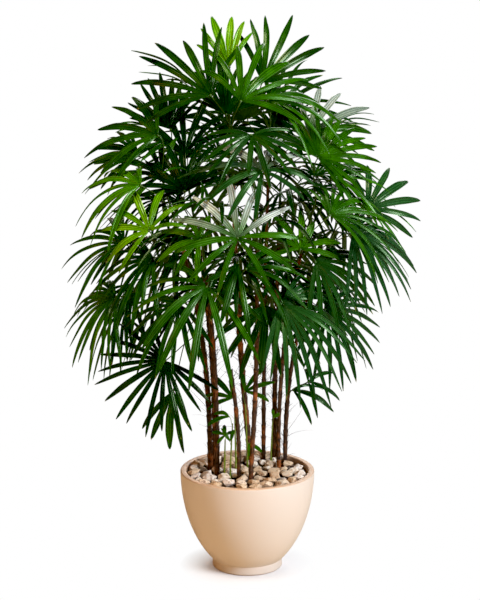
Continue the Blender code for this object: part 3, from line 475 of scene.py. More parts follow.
def shoot_lists(shoot):
    low = Vector((*shoot.foot, LEAN_START))
    top = Vector(shoot.top)
    centres = [Vector((*shoot.foot, ROOT_DEPTH)), low, low.lerp(top, 0.5), top]
    radii = [shoot.radius, shoot.radius, shoot.radius * 0.9, shoot.radius * 0.6]
    return tube_lists(centres, radii, SHOOT_SIDES, True)


print("corners of the first cane's tube:", len(cane_lists(CANES[0])[0]))

# %% [markdown]
# A fan has three directions: along its middle leaflet, across it, and up from its upper face.
# A leaflet leaves the hub in that plane, a little cupped, and then bends: gravity pulls it down
# and its own spring arches it back. Both grow with the square of the way along it, so one
# short formula gives the middle line of every leaflet of the plant.

# %% The line and the frame of a leaflet
KEEL = 0.0032
HALF_WIDTH = 0.0130
EDGE_SHORTER = 0.24
EDGE_NARROWER = 0.26
HUB_SHARE = 0.11
CUP = 0.20
ARCH = 0.36
LEAFLET_RINGS = ((0.38, 0.96), (0.76, 0.88))
SIMPLE_RINGS = ((0.50, 1.00),)
LONG_RINGS = ((0.28, 0.90), (0.55, 1.00), (0.82, 0.80))
LONG_DROOP = 0.46
DOWN = Vector((0.0, 0.0, -1.0))


def direction(turn, rise):
    turn, rise = math.radians(turn), math.radians(rise)
    return Vector((math.cos(turn) * math.cos(rise), math.sin(turn) * math.cos(rise), math.sin(rise)))


def fan_axes(frond):
    """The directions of a fan's middle leaflet, of its right-hand side and of its upper face."""
    upper = direction(*frond.face)
    rising = (Vector((0, 0, 1)) - upper * upper.z).normalized()
    rightward = rising.cross(upper)
    clock = math.radians(frond.clock)
    along = rising * math.cos(clock) + rightward * math.sin(clock)
    return along, along.cross(upper), upper


class Leaflet(NamedTuple):
    """One leaflet: where it starts, its directions, its size, its root points and its rings."""
    start: Vector
    heading: Vector
    across: Vector
    upper: Vector
    length: float
    sag: float
    half_width: float
    root: tuple
    rings: tuple


def leaflet_middle(leaflet, share):
    bend = DOWN * leaflet.sag - leaflet.upper * ARCH
    return leaflet.start + (leaflet.heading * share + bend * share ** 2) * leaflet.length


def leaflet_tangent(leaflet, share):
    bend = DOWN * leaflet.sag - leaflet.upper * ARCH
    return (leaflet.heading + bend * (2.0 * share)).normalized()


def leaflet_ring(leaflet, share, width, swell=0.0):
    """The left edge, right edge and keel of a leaflet at a share of its length."""
    middle = leaflet_middle(leaflet, share)
    along = leaflet_tangent(leaflet, share)
    side = (leaflet.across - along * leaflet.across.dot(along)).normalized()
    upper = side.cross(along)
    half = leaflet.half_width * width + swell
    left = middle - side * half + upper * swell
    right = middle + side * half + upper * swell
    keel = middle - upper * (KEEL * (0.45 + 0.55 * width) + swell)
    return [left, right, keel]


def hub_point(frond, axes, angle, reach=1.0, swell=0.0):
    """A point on the edge of a fan's hub, in the notch between two leaflets."""
    along, across, upper = axes
    radius = HUB_SHARE * frond.length * reach
    way = along * math.cos(angle) + across * math.sin(angle)
    return Vector(frond.hub) + way * (radius + swell) + upper * (CUP * radius)


def hub_keel(frond, axes, angle, reach=0.80, swell=0.0):
    along, across, upper = axes
    way = along * math.cos(angle) + across * math.sin(angle)
    return Vector(frond.hub) + way * (HUB_SHARE * frond.length * reach) - upper * (KEEL * 0.8 + swell)


def leaflet_angles(frond):
    """The angle of each leaflet from the fan's middle, and half the step between two."""
    span = math.radians(frond.span)
    step = span / max(frond.leaflets - 1, 1)
    angles = [step * index - span / 2 for index in range(frond.leaflets)]
    return angles, step / 2


def make_leaflet(frond, axes, angle, half_step, turn, lift, sag_share, shrink):
    """The leaflet at an angle of a fan, turned in the fan's plane and lifted out of it by a little."""
    along, across, upper = axes
    hub = Vector(frond.hub)
    hub_radius = HUB_SHARE * frond.length
    spread = abs(angle) / max(math.radians(frond.span) / 2, 0.01)
    root_way = along * math.cos(angle) + across * math.sin(angle)
    turned = angle + turn
    heading = along * math.cos(turned) + across * math.sin(turned) + upper * (CUP + math.tan(lift))
    sideways = across * math.cos(turned) - along * math.sin(turned)
    length = frond.length * (1.0 - EDGE_SHORTER * spread * spread) * shrink - hub_radius
    sag = frond.droop * (0.75 + 0.35 * spread) * sag_share
    half_width = HALF_WIDTH * (1.0 - EDGE_NARROWER * spread) * min(1.0, frond.length / 0.20) ** 0.35
    start = hub + root_way * (hub_radius * math.cos(half_step)) + upper * (CUP * hub_radius)
    root = (hub_point(frond, axes, angle - half_step), hub_point(frond, axes, angle + half_step),
            hub_keel(frond, axes, angle))
    rings = SIMPLE_RINGS if frond.simple else LONG_RINGS if sag > LONG_DROOP else LEAFLET_RINGS
    return Leaflet(start, heading.normalized(), sideways, upper, length, sag, half_width, root, rings)


print("directions of the first fan:", [tuple(round(v, 2) for v in way) for way in fan_axes(FRONT_FRONDS[0])])

# %% [markdown]
# The trial shape of a frond is a thin three-sided blade for each leaflet, a low cone for the
# hub and a three-sided stalk that runs back into a stem. The stalk leaves the stem upwards and
# arrives at the hub from below, as a cubic curve.

# %% Plain shapes of the blades, the hub and the stalk
WIDE_GAP = math.radians(60)
STALK_SECTOR = math.radians(38)
HUB_RISE = 0.0012
HUB_DEPTH = 0.0045
STALK_EDGE = 0.55
STALK_STEPS = 3


def join_rings(faces, below, above):
    left, right, keel = below
    far_left, far_right, far_keel = above
    faces.extend([(left, right, far_left), (right, far_right, far_left)])
    faces.extend([(left, far_left, keel), (keel, far_left, far_keel)])
    faces.extend([(right, keel, far_keel), (right, far_keel, far_right)])


def add_blade(points, faces, root, leaflet, swell=0.0):
    """Grow a leaflet from its three root points to its tip."""
    below = root
    for share, width in leaflet.rings:
        first = len(points)
        points.extend(leaflet_ring(leaflet, share, width, swell))
        ring = (first, first + 1, first + 2)
        join_rings(faces, below, ring)
        below = ring
    tip = len(points)
    points.append(leaflet_middle(leaflet, 1.0) + leaflet_tangent(leaflet, 1.0) * (3 * swell))
    left, right, keel = below
    faces.extend([(left, right, tip), (left, tip, keel), (right, keel, tip)])


def stalk_points(frond, anchor, steps):
    """The leaf stalk's middle line, from the fan's hub back to its place inside the stem."""
    along, _, upper = fan_axes(frond)
    hub = Vector(frond.hub)
    reach = (hub - anchor).length
    outward = Vector((hub.x - anchor.x, hub.y - anchor.y, 0.0))
    if outward.length > 1e-4:
        outward.normalize()
    leaving = anchor + (outward * 0.45 + Vector((0, 0, 0.9))) * (0.34 * reach)
    arriving = hub - (along * 0.75 + upper * 0.55) * (0.30 * reach)
    line = [hub]
    for step in range(1, steps + 1):
        share = step / steps
        rest = 1.0 - share
        line.append(hub * rest ** 3 + arriving * (3 * rest * rest * share)
                    + leaving * (3 * rest * share * share) + anchor * share ** 3)
    return line


def add_stalk(points, faces, root, frond, anchor, radius, swell=0.0):
    along, across, _ = fan_axes(frond)
    line = stalk_points(frond, anchor, STALK_STEPS)
    side = -across
    below = root
    for index in range(1, len(line)):
        ahead = line[min(index + 1, len(line) - 1)] - line[index - 1]
        ahead.normalize()
        side = (side - ahead * side.dot(ahead)).normalized()
        upper = side.cross(ahead)
        centre = line[index]
        size = radius + swell
        first = len(points)
        points.append(centre - side * size + upper * (0.6 * size))
        points.append(centre + side * size + upper * (0.6 * size))
        points.append(centre - upper * (1.1 * size))
        ring = (first, first + 1, first + 2)
        join_rings(faces, below, ring)
        below = ring
    faces.append(below)


def hub_lists(frond, swell=0.0):
    """The hub of a fan: its top and bottom points, its edge, and the roots of leaflets and stalk."""
    axes = fan_axes(frond)
    upper = axes[2]
    hub = Vector(frond.hub)
    angles, half_step = leaflet_angles(frond)
    notches = [angles[0] - half_step] + [angle + half_step for angle in angles]
    edge = [hub_point(frond, axes, angle, 1.0, swell) for angle in notches]
    keels = [hub_keel(frond, axes, angle, 0.80, swell) for angle in angles]
    gap = math.tau - (notches[-1] - notches[0])
    middle = (notches[0] + notches[-1]) / 2 + math.pi
    if gap > WIDE_GAP:
        sector = min(STALK_SECTOR, gap / 2 - 0.2)
        edge += [hub_point(frond, axes, middle - sector, STALK_EDGE, swell),
                 hub_point(frond, axes, middle + sector, STALK_EDGE, swell)]
        keels += [None, hub_keel(frond, axes, middle, 0.20, swell), None]
    else:
        keels.append(hub_keel(frond, axes, middle, STALK_EDGE, swell))
    points = [hub + upper * (HUB_RISE + swell), hub - upper * (HUB_DEPTH + swell), *edge]
    faces = []
    roots = []
    for index, keel_point in enumerate(keels):
        left = 2 + index
        right = 2 + (index + 1) % len(edge)
        faces.append((0, right, left))
        if keel_point is None:
            faces.append((1, left, right))
            continue
        keel = len(points)
        points.append(keel_point)
        roots.append((left, right, keel))
        faces.extend([(1, left, keel), (1, keel, right)])
    return points, faces, roots


def frond_lists(frond, leaflets, anchor, radius):
    points, faces, roots = hub_lists(frond)
    for root, leaflet in zip(roots, leaflets):
        if leaflet is None:
            faces.append(root)
        else:
            add_blade(points, faces, root, leaflet)
    add_stalk(points, faces, roots[-1], frond, anchor, radius)
    return points, faces


def bare_lists(frond, anchor, radius, swell):
    """The hub and stalk of a frond without its leaflets."""
    points, faces, roots = hub_lists(frond, swell)
    for root in roots[:-1]:
        faces.append(root)
    add_stalk(points, faces, roots[-1], frond, anchor, radius, swell)
    return points, faces


bare_frond = bare_lists(FRONT_FRONDS[0], Vector((-0.2, 0.0, 1.1)), 0.0024, 0.0)
print("a bare frond has", len(bare_frond[1]), "faces")

# %% [markdown]
# Two shapes are tried against each other with a BVH tree, a box tree of the faces, which
# answers in microseconds whether any of them cross. A ball round each shape sorts out the ones
# that are far apart.

# %% Tests for what crosses what


class Chunk(NamedTuple):
    """A placed shape that later leaflets keep clear of."""
    middle: Vector
    reach: float
    tree: BVHTree


def make_chunk(points, faces):
    low = Vector([min(point[axis] for point in points) for axis in range(3)])
    high = Vector([max(point[axis] for point in points) for axis in range(3)])
    return Chunk((low + high) / 2, (high - low).length / 2, BVHTree.FromPolygons(points, faces))


def edge_pierces(points, edge, face):
    """Whether an edge goes through a face."""
    start, end = (points[corner] for corner in edge)
    corners = [points[corner] for corner in face]
    hit = intersect_ray_tri(*corners, end - start, start, True)
    return hit is not None and (hit - start).length <= (end - start).length


def is_sound(points, faces):
    """Whether no two faces of a shape cross. Faces that share a corner may still cross beyond it."""
    tree = BVHTree.FromPolygons(points, faces)
    for one, other in tree.overlap(tree):
        if one >= other:
            continue
        shared = set(faces[one]) & set(faces[other])
        if not shared:
            return False
        if len(shared) == 1:
            one_edge = [corner for corner in faces[one] if corner not in shared]
            other_edge = [corner for corner in faces[other] if corner not in shared]
            if edge_pierces(points, one_edge, faces[other]) or edge_pierces(points, other_edge, faces[one]):
                return False
    return True


def is_clear(chunk, others):
    for other in others:
        near = (other.middle - chunk.middle).length < other.reach + chunk.reach
        if near and chunk.tree.overlap(other.tree):
            return False
    return True


def loose_blade(leaflet, share, swell):
    """A leaflet from a share of its length to its tip, on its own, to try its place."""
    first_share, first_width = leaflet.rings[0]
    ring = leaflet_ring(leaflet, first_share, first_width, swell)
    points = [low.lerp(high, share / first_share) for low, high in zip(leaflet.root, ring)]
    faces = [(0, 2, 1)]
    add_blade(points, faces, (0, 1, 2), leaflet, swell)
    return make_chunk(points, faces)


def loose_stalk(frond, anchor, radius, swell, steps):
    """The first steps of a stalk from the hub, on its own."""
    line = stalk_points(frond, anchor, STALK_STEPS)[:steps + 1]
    return make_chunk(*tube_lists(line, [radius + swell] * len(line), 3, False))


print("a tree for every trial shape, and a ball round it")

# %% [markdown]
# The fronds on the shown side are placed one by one. Those of the far side and of the inside
# follow a rule: directions spread evenly over a ball by the golden angle, one fan for each, with
# seeded draws for the small differences.

# %% Fronds of the hidden side and of the inside
CROWN_CENTRE = Vector((-0.01, 0.03, 1.07))
CROWN_REACH = Vector((0.34, 0.30, 0.40))
BACK_DIRECTIONS = 54
BACK_BAND = (-0.72, 0.93)
BACK_FROM = 0.10
BACK_LEAFLETS = 7
INNER_DIRECTIONS = 26
INNER_BAND = (-0.60, 0.95)
INNER_DEPTH = 0.60
INNER_LEAFLETS = 6
RULE_SEED = 5
STALK_RADIUS = 0.0024
SHOOT_STALK_RADIUS = 0.0012
ANCHOR_CHOICES = 60


def golden_turn(index):
    return index * math.pi * (3.0 - math.sqrt(5.0))


def spread_directions(count, lowest, highest):
    """Directions spread evenly over a ball by the golden angle, within a band of heights."""
    for index in range(count):
        height = 1.0 - 2.0 * (index + 0.5) / count
        if lowest < height < highest:
            ring = math.sqrt(1.0 - height * height)
            angle = golden_turn(index)
            yield Vector((ring * math.cos(angle), ring * math.sin(angle), height))


def rule_frond(rng, outward, depth, leaflets):
    """A fan that looks outward: its middle leaflet rises in the top of the crown and hangs below."""
    reach = depth * rng.uniform(0.90, 1.04)
    hub = CROWN_CENTRE + Vector(axis * share * reach for axis, share in zip(CROWN_REACH, outward))
    turn = math.degrees(math.atan2(outward.y, outward.x)) + rng.uniform(-18, 18)
    rise = 62 * outward.z - 6 + rng.uniform(-12, 12)
    if rise < 0:
        face = (turn, max(90 + rise, 30))
        clock = 180 + rng.uniform(-25, 25)
    else:
        face = (turn + 180, max(90 - rise, 35))
        clock = rng.uniform(-25, 25)
    droop = 0.20 + 0.30 * (1.0 - abs(outward.z))
    span = rng.uniform(170, 230)
    return Frond(tuple(hub), face, clock, span, leaflets, rng.uniform(0.215, 0.255), droop, True)


def rule_fronds():
    """Fans over the far side of the crown, then a second layer inside it."""
    rng = random.Random(RULE_SEED)
    fronds = []
    for outward in spread_directions(BACK_DIRECTIONS, *BACK_BAND):
        if outward.y > BACK_FROM:
            fronds.append(rule_frond(rng, outward, 1.0, BACK_LEAFLETS))
    for outward in spread_directions(INNER_DIRECTIONS, *INNER_BAND):
        fronds.append(rule_frond(rng, outward, INNER_DEPTH, INNER_LEAFLETS))
    return fronds


class Growth(NamedTuple):
    """A frond, the places on the stems that it can grow from, best first, and its stalk's thickness."""
    frond: Frond
    choices: list
    radius: float


def stem_choices(frond):
    """Places on the green stems, from the one that lies best below a fan onwards."""
    hub = Vector(frond.hub)
    rise = -0.30 if fan_axes(frond)[0].z < -0.35 else 0.60
    choices = []
    for number, cane in enumerate(CANES, 1):
        start = share_at_height(cane, cane.crown_start + 0.02)
        for step in range(21):
            point = stem_point(cane, start + (0.93 - start) * step / 20)
            flat = math.hypot(hub.x - point.x, hub.y - point.y)
            wanted = hub.z - 0.03 - rise * flat
            choices.append((1.4 * flat + abs(wanted - point.z), number, step, point))
    choices.sort(key=lambda choice: choice[:3])
    return [("crown_%02d" % number, point) for _, number, _, point in choices[:ANCHOR_CHOICES]]


def plan_growth():
    """Every frond with its stem, those of the shown side first."""
    growths = []
    for frond in (*FRONT_FRONDS, *rule_fronds()):
        growths.append(Growth(frond, stem_choices(frond), STALK_RADIUS))
    for number, shoot in enumerate(SHOOTS, 1):
        for frond in shoot.fronds:
            low = Vector((*shoot.foot, LEAN_START))
            top = Vector(shoot.top)
            height = min(frond.hub[2] - 0.02, top.z - 0.008)
            share = max(0.05, (height - low.z) / (top.z - low.z))
            choice = ("shoot_%02d" % number, low.lerp(top, share))
            growths.append(Growth(frond, [choice], SHOOT_STALK_RADIUS))
    return growths


print("fronds that are wanted:", len(plan_growth()))

# %% [markdown]
# Now the trials themselves. Hubs and stalks come first, each moved a little further from
# where it is wanted with every failed try. Then the leaflets grow, frond after frond.

# %% The trials that give every frond its place
HUB_SEED = 1000
LEAFLET_SEED = 5000
CLEARANCE = 0.0015
TRIES = 80
TURN_LIMIT = math.radians(14)
LIFT_LIMIT = math.radians(28)
HUB_SHIFT = 0.040
SIBLING_GAP = 0.0005
NATURAL_TURN = math.radians(3)
NATURAL_SAG = (0.70, 1.40)
NATURAL_LENGTH = (0.88, 1.04)


class Placed(NamedTuple):
    """A frond in its place, with its stem and the place inside that stem."""
    frond: Frond
    owner: str
    anchor: Vector
    radius: float


def shifted(frond, rng, amount):
    hub = tuple(value + rng.uniform(-amount, amount) for value in frond.hub)
    return frond._replace(hub=hub)


def find_place(growth, rng, solid_stems, hubs):
    """Move a fan a little, and its stalk from stem to stem, until both are clear of all before."""
    for attempt in range(TRIES):
        ease = attempt / TRIES
        owner, anchor = growth.choices[int(ease ** 1.5 * (len(growth.choices) - 1))]
        frond = shifted(growth.frond, rng, HUB_SHIFT * ease)
        others = [chunk for name, chunk in solid_stems if name != owner]
        others += [chunk for name, chunk, _ in hubs if name != owner]
        plain = bare_lists(frond, anchor, growth.radius, 0.0)
        if not is_sound(*plain) or not is_clear(make_chunk(*plain), others):
            continue
        if not is_clear(make_chunk(*bare_lists(frond, anchor, growth.radius, CLEARANCE)), others):
            continue
        near = [chunk for name, _, chunk in hubs if name == owner]
        if is_clear(loose_stalk(frond, anchor, growth.radius, CLEARANCE, STALK_STEPS - 1), near):
            return Placed(frond, owner, anchor, growth.radius)
    return None


def plan_stems():
    """Every stem as something to keep clear of, the green ones with the name of their solid."""
    chunks = [(None, make_chunk(*cane_lists(cane))) for cane in (*CANES, BROKEN_CANE)]
    for number, cane in enumerate(CANES, 1):
        chunks.append(("crown_%02d" % number, make_chunk(*core_lists(cane))))
    for number, shoot in enumerate(SHOOTS, 1):
        chunks.append(("shoot_%02d" % number, make_chunk(*shoot_lists(shoot))))
    return chunks


def place_fronds(stem_chunks):
    """Give every hub and stalk its place. A frond for which there is none is left out."""
    fronds = []
    hubs = []
    for index, growth in enumerate(plan_growth()):
        placed = find_place(growth, random.Random(HUB_SEED + index), stem_chunks, hubs)
        if placed is None:
            continue
        fronds.append(placed)
        whole = make_chunk(*bare_lists(placed.frond, placed.anchor, placed.radius, 0.0))
        upper_part = loose_stalk(placed.frond, placed.anchor, placed.radius, 0.0, STALK_STEPS - 1)
        hubs.append((placed.owner, whole, upper_part))
    return fronds, hubs


def settle_leaflets(placed, rng, others):
    """Bend each leaflet a little until it is clear of what stands near it. A blocked one is None."""
    frond = placed.frond
    axes = fan_axes(frond)
    angles, half_step = leaflet_angles(frond)
    siblings = [loose_stalk(frond, placed.anchor, placed.radius, 0.0, STALK_STEPS)]
    settled = [None] * len(angles)
    for index, angle in enumerate(angles):
        own_turn = rng.uniform(-1, 1) * NATURAL_TURN
        own_sag = rng.uniform(*NATURAL_SAG)
        own_length = rng.uniform(*NATURAL_LENGTH)
        for attempt in range(TRIES):
            ease = attempt / TRIES
            turn = own_turn + rng.uniform(-1, 1) * TURN_LIMIT * ease
            lift = rng.uniform(-1, 1) * LIFT_LIMIT * ease
            sag_share = own_sag * (1.0 + rng.uniform(-0.8, 0.8) * ease)
            shrink = own_length * (1.0 - rng.uniform(0.0, 0.5) * ease * ease)
            leaflet = make_leaflet(frond, axes, angle, half_step, turn, lift, sag_share, shrink)
            outer = loose_blade(leaflet, 0.04, SIBLING_GAP)
            if not is_clear(outer, siblings):
                continue
            if not all(is_clear(loose_blade(leaflet, 0.02, swell), others) for swell in (CLEARANCE, 0.0)):
                continue
            settled[index] = leaflet
            if is_sound(*frond_lists(frond, settled, placed.anchor, placed.radius)):
                siblings.append(outer)
                break
            settled[index] = None
    return settled


print("stems to keep clear of:", len(plan_stems()))

# %% [markdown]
# A simple frond of the solid model has six or seven broad leaflets, because its triangles are
# counted. A real one has about twice as many. So a second leaflet grows in each notch of such a
# frond, halfway between its neighbours, wherever it touches nothing that is already there. Some
# of the shown fronds are as full as that, and get more leaflets in the same way.

# %% Grow every leaflet, and the extra ones
NOTCH_SEED = 7000
EXTRA_TRIES = 14
NOTCH_START = 0.30
WIDE_STEP = math.radians(21)
FULL_FRONDS = {FRONT_FRONDS[place][1:] for place in (5, 6, 7, 8, 9, 10, 22, 23, 28, 31, 33, 34, 35, 36)}


class Fan(NamedTuple):
    """A finished frond: where it sits, its stem, and each leaflet with half the room beside it."""
    placed: Placed
    leaflets: list
    full: bool


def notch_leaflets(frond, rng, others):
    """The leaflets that grow between those of a simple frond."""
    axes = fan_axes(frond)
    angles, half_step = leaflet_angles(frond)
    extra = []
    for before, after in zip(angles, angles[1:]):
        angle = (before + after) / 2
        for attempt in range(EXTRA_TRIES):
            ease = attempt / EXTRA_TRIES
            turn = rng.uniform(-1, 1) * half_step * 0.5 * ease
            lift = rng.uniform(-1, 1) * LIFT_LIMIT * ease
            sag_share = rng.uniform(*NATURAL_SAG)
            shrink = rng.uniform(*NATURAL_LENGTH) * (1.0 - 0.25 * ease)
            leaflet = make_leaflet(frond, axes, angle, half_step / 2, turn, lift, sag_share, shrink)
            if is_clear(loose_blade(leaflet, NOTCH_START, 0.0), others):
                extra.append((leaflet, half_step / 2))
                break
    return extra


def grow_fans():
    """Every frond with its leaflets, in the order in which they are tried."""
    stem_chunks = plan_stems()
    placed_fronds, hubs = place_fronds(stem_chunks)
    grown = []
    fans = []
    for index, placed in enumerate(placed_fronds):
        rng = random.Random(LEAFLET_SEED + index)
        others = [chunk for _, chunk in stem_chunks] + grown
        others += [chunk for number, (_, chunk, _) in enumerate(hubs) if number != index]
        leaflets = settle_leaflets(placed, rng, others)
        fans.append((placed, leaflets))
        grown.append(make_chunk(*frond_lists(placed.frond, leaflets, placed.anchor, placed.radius)))
    stems = [chunk for _, chunk in stem_chunks]
    finished = []
    for index, (placed, leaflets) in enumerate(fans):
        _, half_step = leaflet_angles(placed.frond)
        full = placed.frond.simple or placed.frond[1:] in FULL_FRONDS
        crowded = full and half_step * 2 > WIDE_STEP
        room = half_step / 2 if crowded else half_step
        blades = [(leaflet, room) for leaflet in leaflets if leaflet is not None]
        if crowded:
            others = stems + [chunk for number, chunk in enumerate(grown) if number != index]
            extra = notch_leaflets(placed.frond, random.Random(NOTCH_SEED + index), others)
            grown.extend(loose_blade(leaflet, NOTCH_START, 0.0) for leaflet, _ in extra)
            blades.extend(extra)
        finished.append(Fan(placed, blades, full))
    return finished


FANS = grow_fans()
print("fronds:", len(FANS), "leaflets:", sum(len(fan.leaflets) for fan in FANS))

# %% [markdown]
# The pot is a turned shape, so it starts as one profile that is spun round the axis. The solid
# model's belly is an ellipse, and so is this one, with many more points. Its lip gets a small
# round edge that catches the light, and a crease runs round where the belly meets the foot.

# %% Spin the pot
RIM_RADIUS = 0.210
POT_HEIGHT = 0.315
WALL = 0.019
FOOT_RADIUS = 0.110
FOOT_HEIGHT = 0.028
BELLY_DROP = 0.337
POT_FLOOR = 0.034
INNER_ROWS = (0.060, 0.140, SOIL_TOP)
LIP_ROUNDING = 0.0045
FOOT_ROUNDING = 0.0060
CREASE_DEPTH = 0.0008
CREASE_WIDTH = 0.003
FLOOR_ROUNDING = 0.022
POT_STEPS = 160
BELLY_ROWS = 26


def outer_radius(height):
    return RIM_RADIUS * math.sqrt(1.0 - ((POT_HEIGHT - height) / BELLY_DROP) ** 2)


def inner_radius(height):
    return outer_radius(height) - WALL


def arc(centre, radius, start, end, steps):
    """Points on an arc in the plane of radius and height. Angles are in degrees from outwards to up."""
    for step in range(steps + 1):
        angle = math.radians(start + (end - start) * step / steps)
        yield centre[0] + radius * math.cos(angle), centre[1] + radius * math.sin(angle)


def pot_profile():
    profile = [(0.0, 0.0)]
    profile += arc((FOOT_RADIUS - FOOT_ROUNDING, FOOT_ROUNDING), FOOT_ROUNDING, -90, 0, 8)
    for share in (0.25, 0.5, 0.75, 1.0):
        height = FOOT_ROUNDING + (FOOT_HEIGHT - FOOT_ROUNDING) * share
        profile.append((FOOT_RADIUS - CREASE_DEPTH * math.sin(share * math.pi / 2), height))
    low, high = FOOT_HEIGHT + CREASE_WIDTH, POT_HEIGHT - LIP_ROUNDING
    for row in range(BELLY_ROWS + 1):
        height = low + (high - low) * (row / BELLY_ROWS) ** 1.4
        profile.append((outer_radius(height), height))
    lip_outside = outer_radius(high) - LIP_ROUNDING
    lip_inside = inner_radius(POT_HEIGHT) + LIP_ROUNDING
    profile += arc((lip_outside, high), LIP_ROUNDING, 10, 90, 6)
    profile += arc((lip_inside, high), LIP_ROUNDING, 90, 180, 6)
    profile += [(inner_radius(height), height) for height in reversed(INNER_ROWS)]
    profile += [(inner_radius(INNER_ROWS[0]) - FLOOR_ROUNDING, POT_FLOOR), (0.0, POT_FLOOR)]
    return profile


def spin_profile(profile, steps):
    bm = bmesh.new()
    corners = [bm.verts.new((radius, 0.0, height)) for radius, height in profile]
    edges = [bm.edges.new(pair) for pair in zip(corners, corners[1:])]
    bmesh.ops.spin(bm, geom=corners + edges, cent=(0, 0, 0), axis=(0, 0, 1), angle=math.tau,
                   steps=steps, use_merge=True, use_duplicate=False)
    bmesh.ops.remove_doubles(bm, verts=bm.verts, dist=1e-6)
    bmesh.ops.recalc_face_normals(bm, faces=bm.faces)
    return bm


print("corners of the pot's profile:", len(pot_profile()))

# %% [markdown]
# Every finished mesh is a piece of the one body, and the solids that it stands for are hidden.

# %% A mesh that stands for a solid


def add_piece(name, bm, materials, slot, *nodes, smooth=True):
    """Make a bmesh a piece of the plant that stands for one or more solids."""
    mesh = bpy.data.meshes.new(name)
    bm.to_mesh(mesh)
    bm.free()
    for material in materials:
        mesh.materials.append(material)
    if smooth:
        mesh.shade_smooth()
    piece = bpy.data.objects.new(name, mesh)
    bpy.context.scene.collection.objects.link(piece)
    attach(piece, "root")
    if nodes:
        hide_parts(*nodes)
    mesh.calc_loop_triangles()
    print(name, "triangles:", len(mesh.loop_triangles))
    return piece


print("solids that wait for a piece:", len(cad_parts))

# %% [markdown]
# The real pot is cast clay with a satin glaze in a warm cream. Such a surface has almost no
# pattern: a broad, soft sheen on the side of the lamp, an uneven gloss a few centimetres wide
# and a fine orange peel of about a millimetre. The top of the lip is a darker, warmer cream. The
# inner wall above the chips is painted a darker tan, as painted shade inside the pot. A thin band
# of darker clay runs round where the pot stands: partly bare clay, partly a painted contact shadow.

# %% Satin glaze over cast clay
GLOSS_SIZE_MM = 70.0
PEEL_SIZE_MM = 1.4
FOOT_LINE_HEIGHT = 0.0035
INNER_WALL = (0.1900, 0.1935)
INNER_TOP = (0.25, 0.27)


def glaze_material():
    material, tree, output = new_material("satin cream glaze over cast clay")
    place = add_node(tree, "TexCoord").outputs["Object"]
    cloud = add_node(tree, "TexNoise", {"Scale": 1000 / GLOSS_SIZE_MM, "Detail": 3.0}, {"Vector": place})
    peel = add_node(tree, "TexNoise", {"Scale": 1000 / PEEL_SIZE_MM, "Detail": 2.0}, {"Vector": place})
    split = add_node(tree, "SeparateXYZ", links={"Vector": place})
    low = add_node(tree, "MapRange",
                   {"From Max": FOOT_LINE_HEIGHT, "To Min": 1.0, "To Max": 0.0},
                   {"Value": split.outputs["Z"]})
    lip = add_node(tree, "MapRange", {"From Min": POT_HEIGHT - LIP_ROUNDING, "From Max": POT_HEIGHT},
                   {"Value": split.outputs["Z"]})
    flat = add_node(tree, "VectorMath", {"operation": "MULTIPLY", 1: (1.0, 1.0, 0.0)}, {0: place})
    reach = add_node(tree, "VectorMath", {"operation": "LENGTH"}, {0: flat.outputs["Vector"]})
    # The inner wall above the chips is painted a darker tan: painted shade inside the pot.
    inside = add_node(tree, "MapRange",
                      {"From Min": INNER_WALL[0], "From Max": INNER_WALL[1], "To Min": 1.0, "To Max": 0.0},
                      {"Value": reach.outputs["Value"]})
    high = add_node(tree, "MapRange", {"From Min": INNER_TOP[0], "From Max": INNER_TOP[1]},
                    {"Value": split.outputs["Z"]})
    inner_shade_share = add_node(tree, "Math", {"operation": "MULTIPLY"},
                          {0: inside.outputs["Result"], 1: high.outputs["Result"]})
    # The top of the lip is mixed to a darker, warmer cream.
    glaze = add_node(tree, "Mix", {"data_type": "RGBA", 6: linear("#E7DACD"), 7: linear("#DDB084")},
                     {0: lip.outputs["Result"]})
    inner_shaded = add_node(tree, "Mix", {"data_type": "RGBA", 7: linear("#C08E5C")},
                    {0: inner_shade_share.outputs[0], 6: glaze.outputs[2]})
    # The band at the very bottom is partly bare clay and partly a painted contact shadow.
    bare_clay_and_contact_shade = add_node(tree, "Mix", {"data_type": "RGBA", 7: linear("#A86A38")},
                    {0: low.outputs["Result"], 6: inner_shaded.outputs[2]})
    rough = add_node(tree, "MapRange", {"To Min": 0.40, "To Max": 0.48}, {"Value": cloud.outputs["Fac"]})
    bump = add_node(tree, "Bump", {"Strength": 0.2, "Distance": 0.0002}, {"Height": peel.outputs["Fac"]})
    skin = add_node(tree, "BsdfPrincipled",
                    {"IOR": 1.50, "Coat Weight": 0.35, "Coat Roughness": 0.50, "Coat IOR": 1.6},
                    {"Base Color": bare_clay_and_contact_shade.outputs[2], "Roughness": rough.outputs["Result"],
                     "Normal": bump.outputs["Normal"]})
    tree.links.new(skin.outputs[0], output.inputs["Surface"])
    return material


pot = add_piece("pot_shell", spin_profile(pot_profile(), POT_STEPS), [glaze_material()], "pot", "pot")
pot.data.set_sharp_from_angle(angle=math.radians(38))

# %% [markdown]
# The soil only shows as darkness between the chips. Its solid has the right shape, so it stays
# and only gets a finish: moist peat with crumbs of two to three millimetres.

# %% Moist potting soil
CRUMB_SIZE_MM = 2.6


def soil_material():
    material, tree, output = new_material("moist peat potting soil")
    place = add_node(tree, "TexCoord").outputs["Object"]
    crumbs = add_node(tree, "TexVoronoi", {"Scale": 1000 / CRUMB_SIZE_MM}, {"Vector": place})
    tint = add_node(tree, "ValToRGB", links={"Fac": crumbs.outputs["Distance"]},
                    stops=((0.0, "#3A2819"), (0.6, "#150E08")))
    bump = add_node(tree, "Bump", {"Strength": 0.8, "Distance": 0.002},
                    {"Height": crumbs.outputs["Distance"]})
    skin = add_node(tree, "BsdfPrincipled", {"Roughness": 0.9},
                    {"Base Color": tint.outputs["Color"], "Normal": bump.outputs["Normal"]})
    tree.links.new(skin.outputs[0], output.inputs["Surface"])
    return material


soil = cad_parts["soil"]
soil.data.materials.clear()
soil.data.materials.append(soil_material())
print("soil keeps its solid, with", len(soil.data.polygons), "faces")

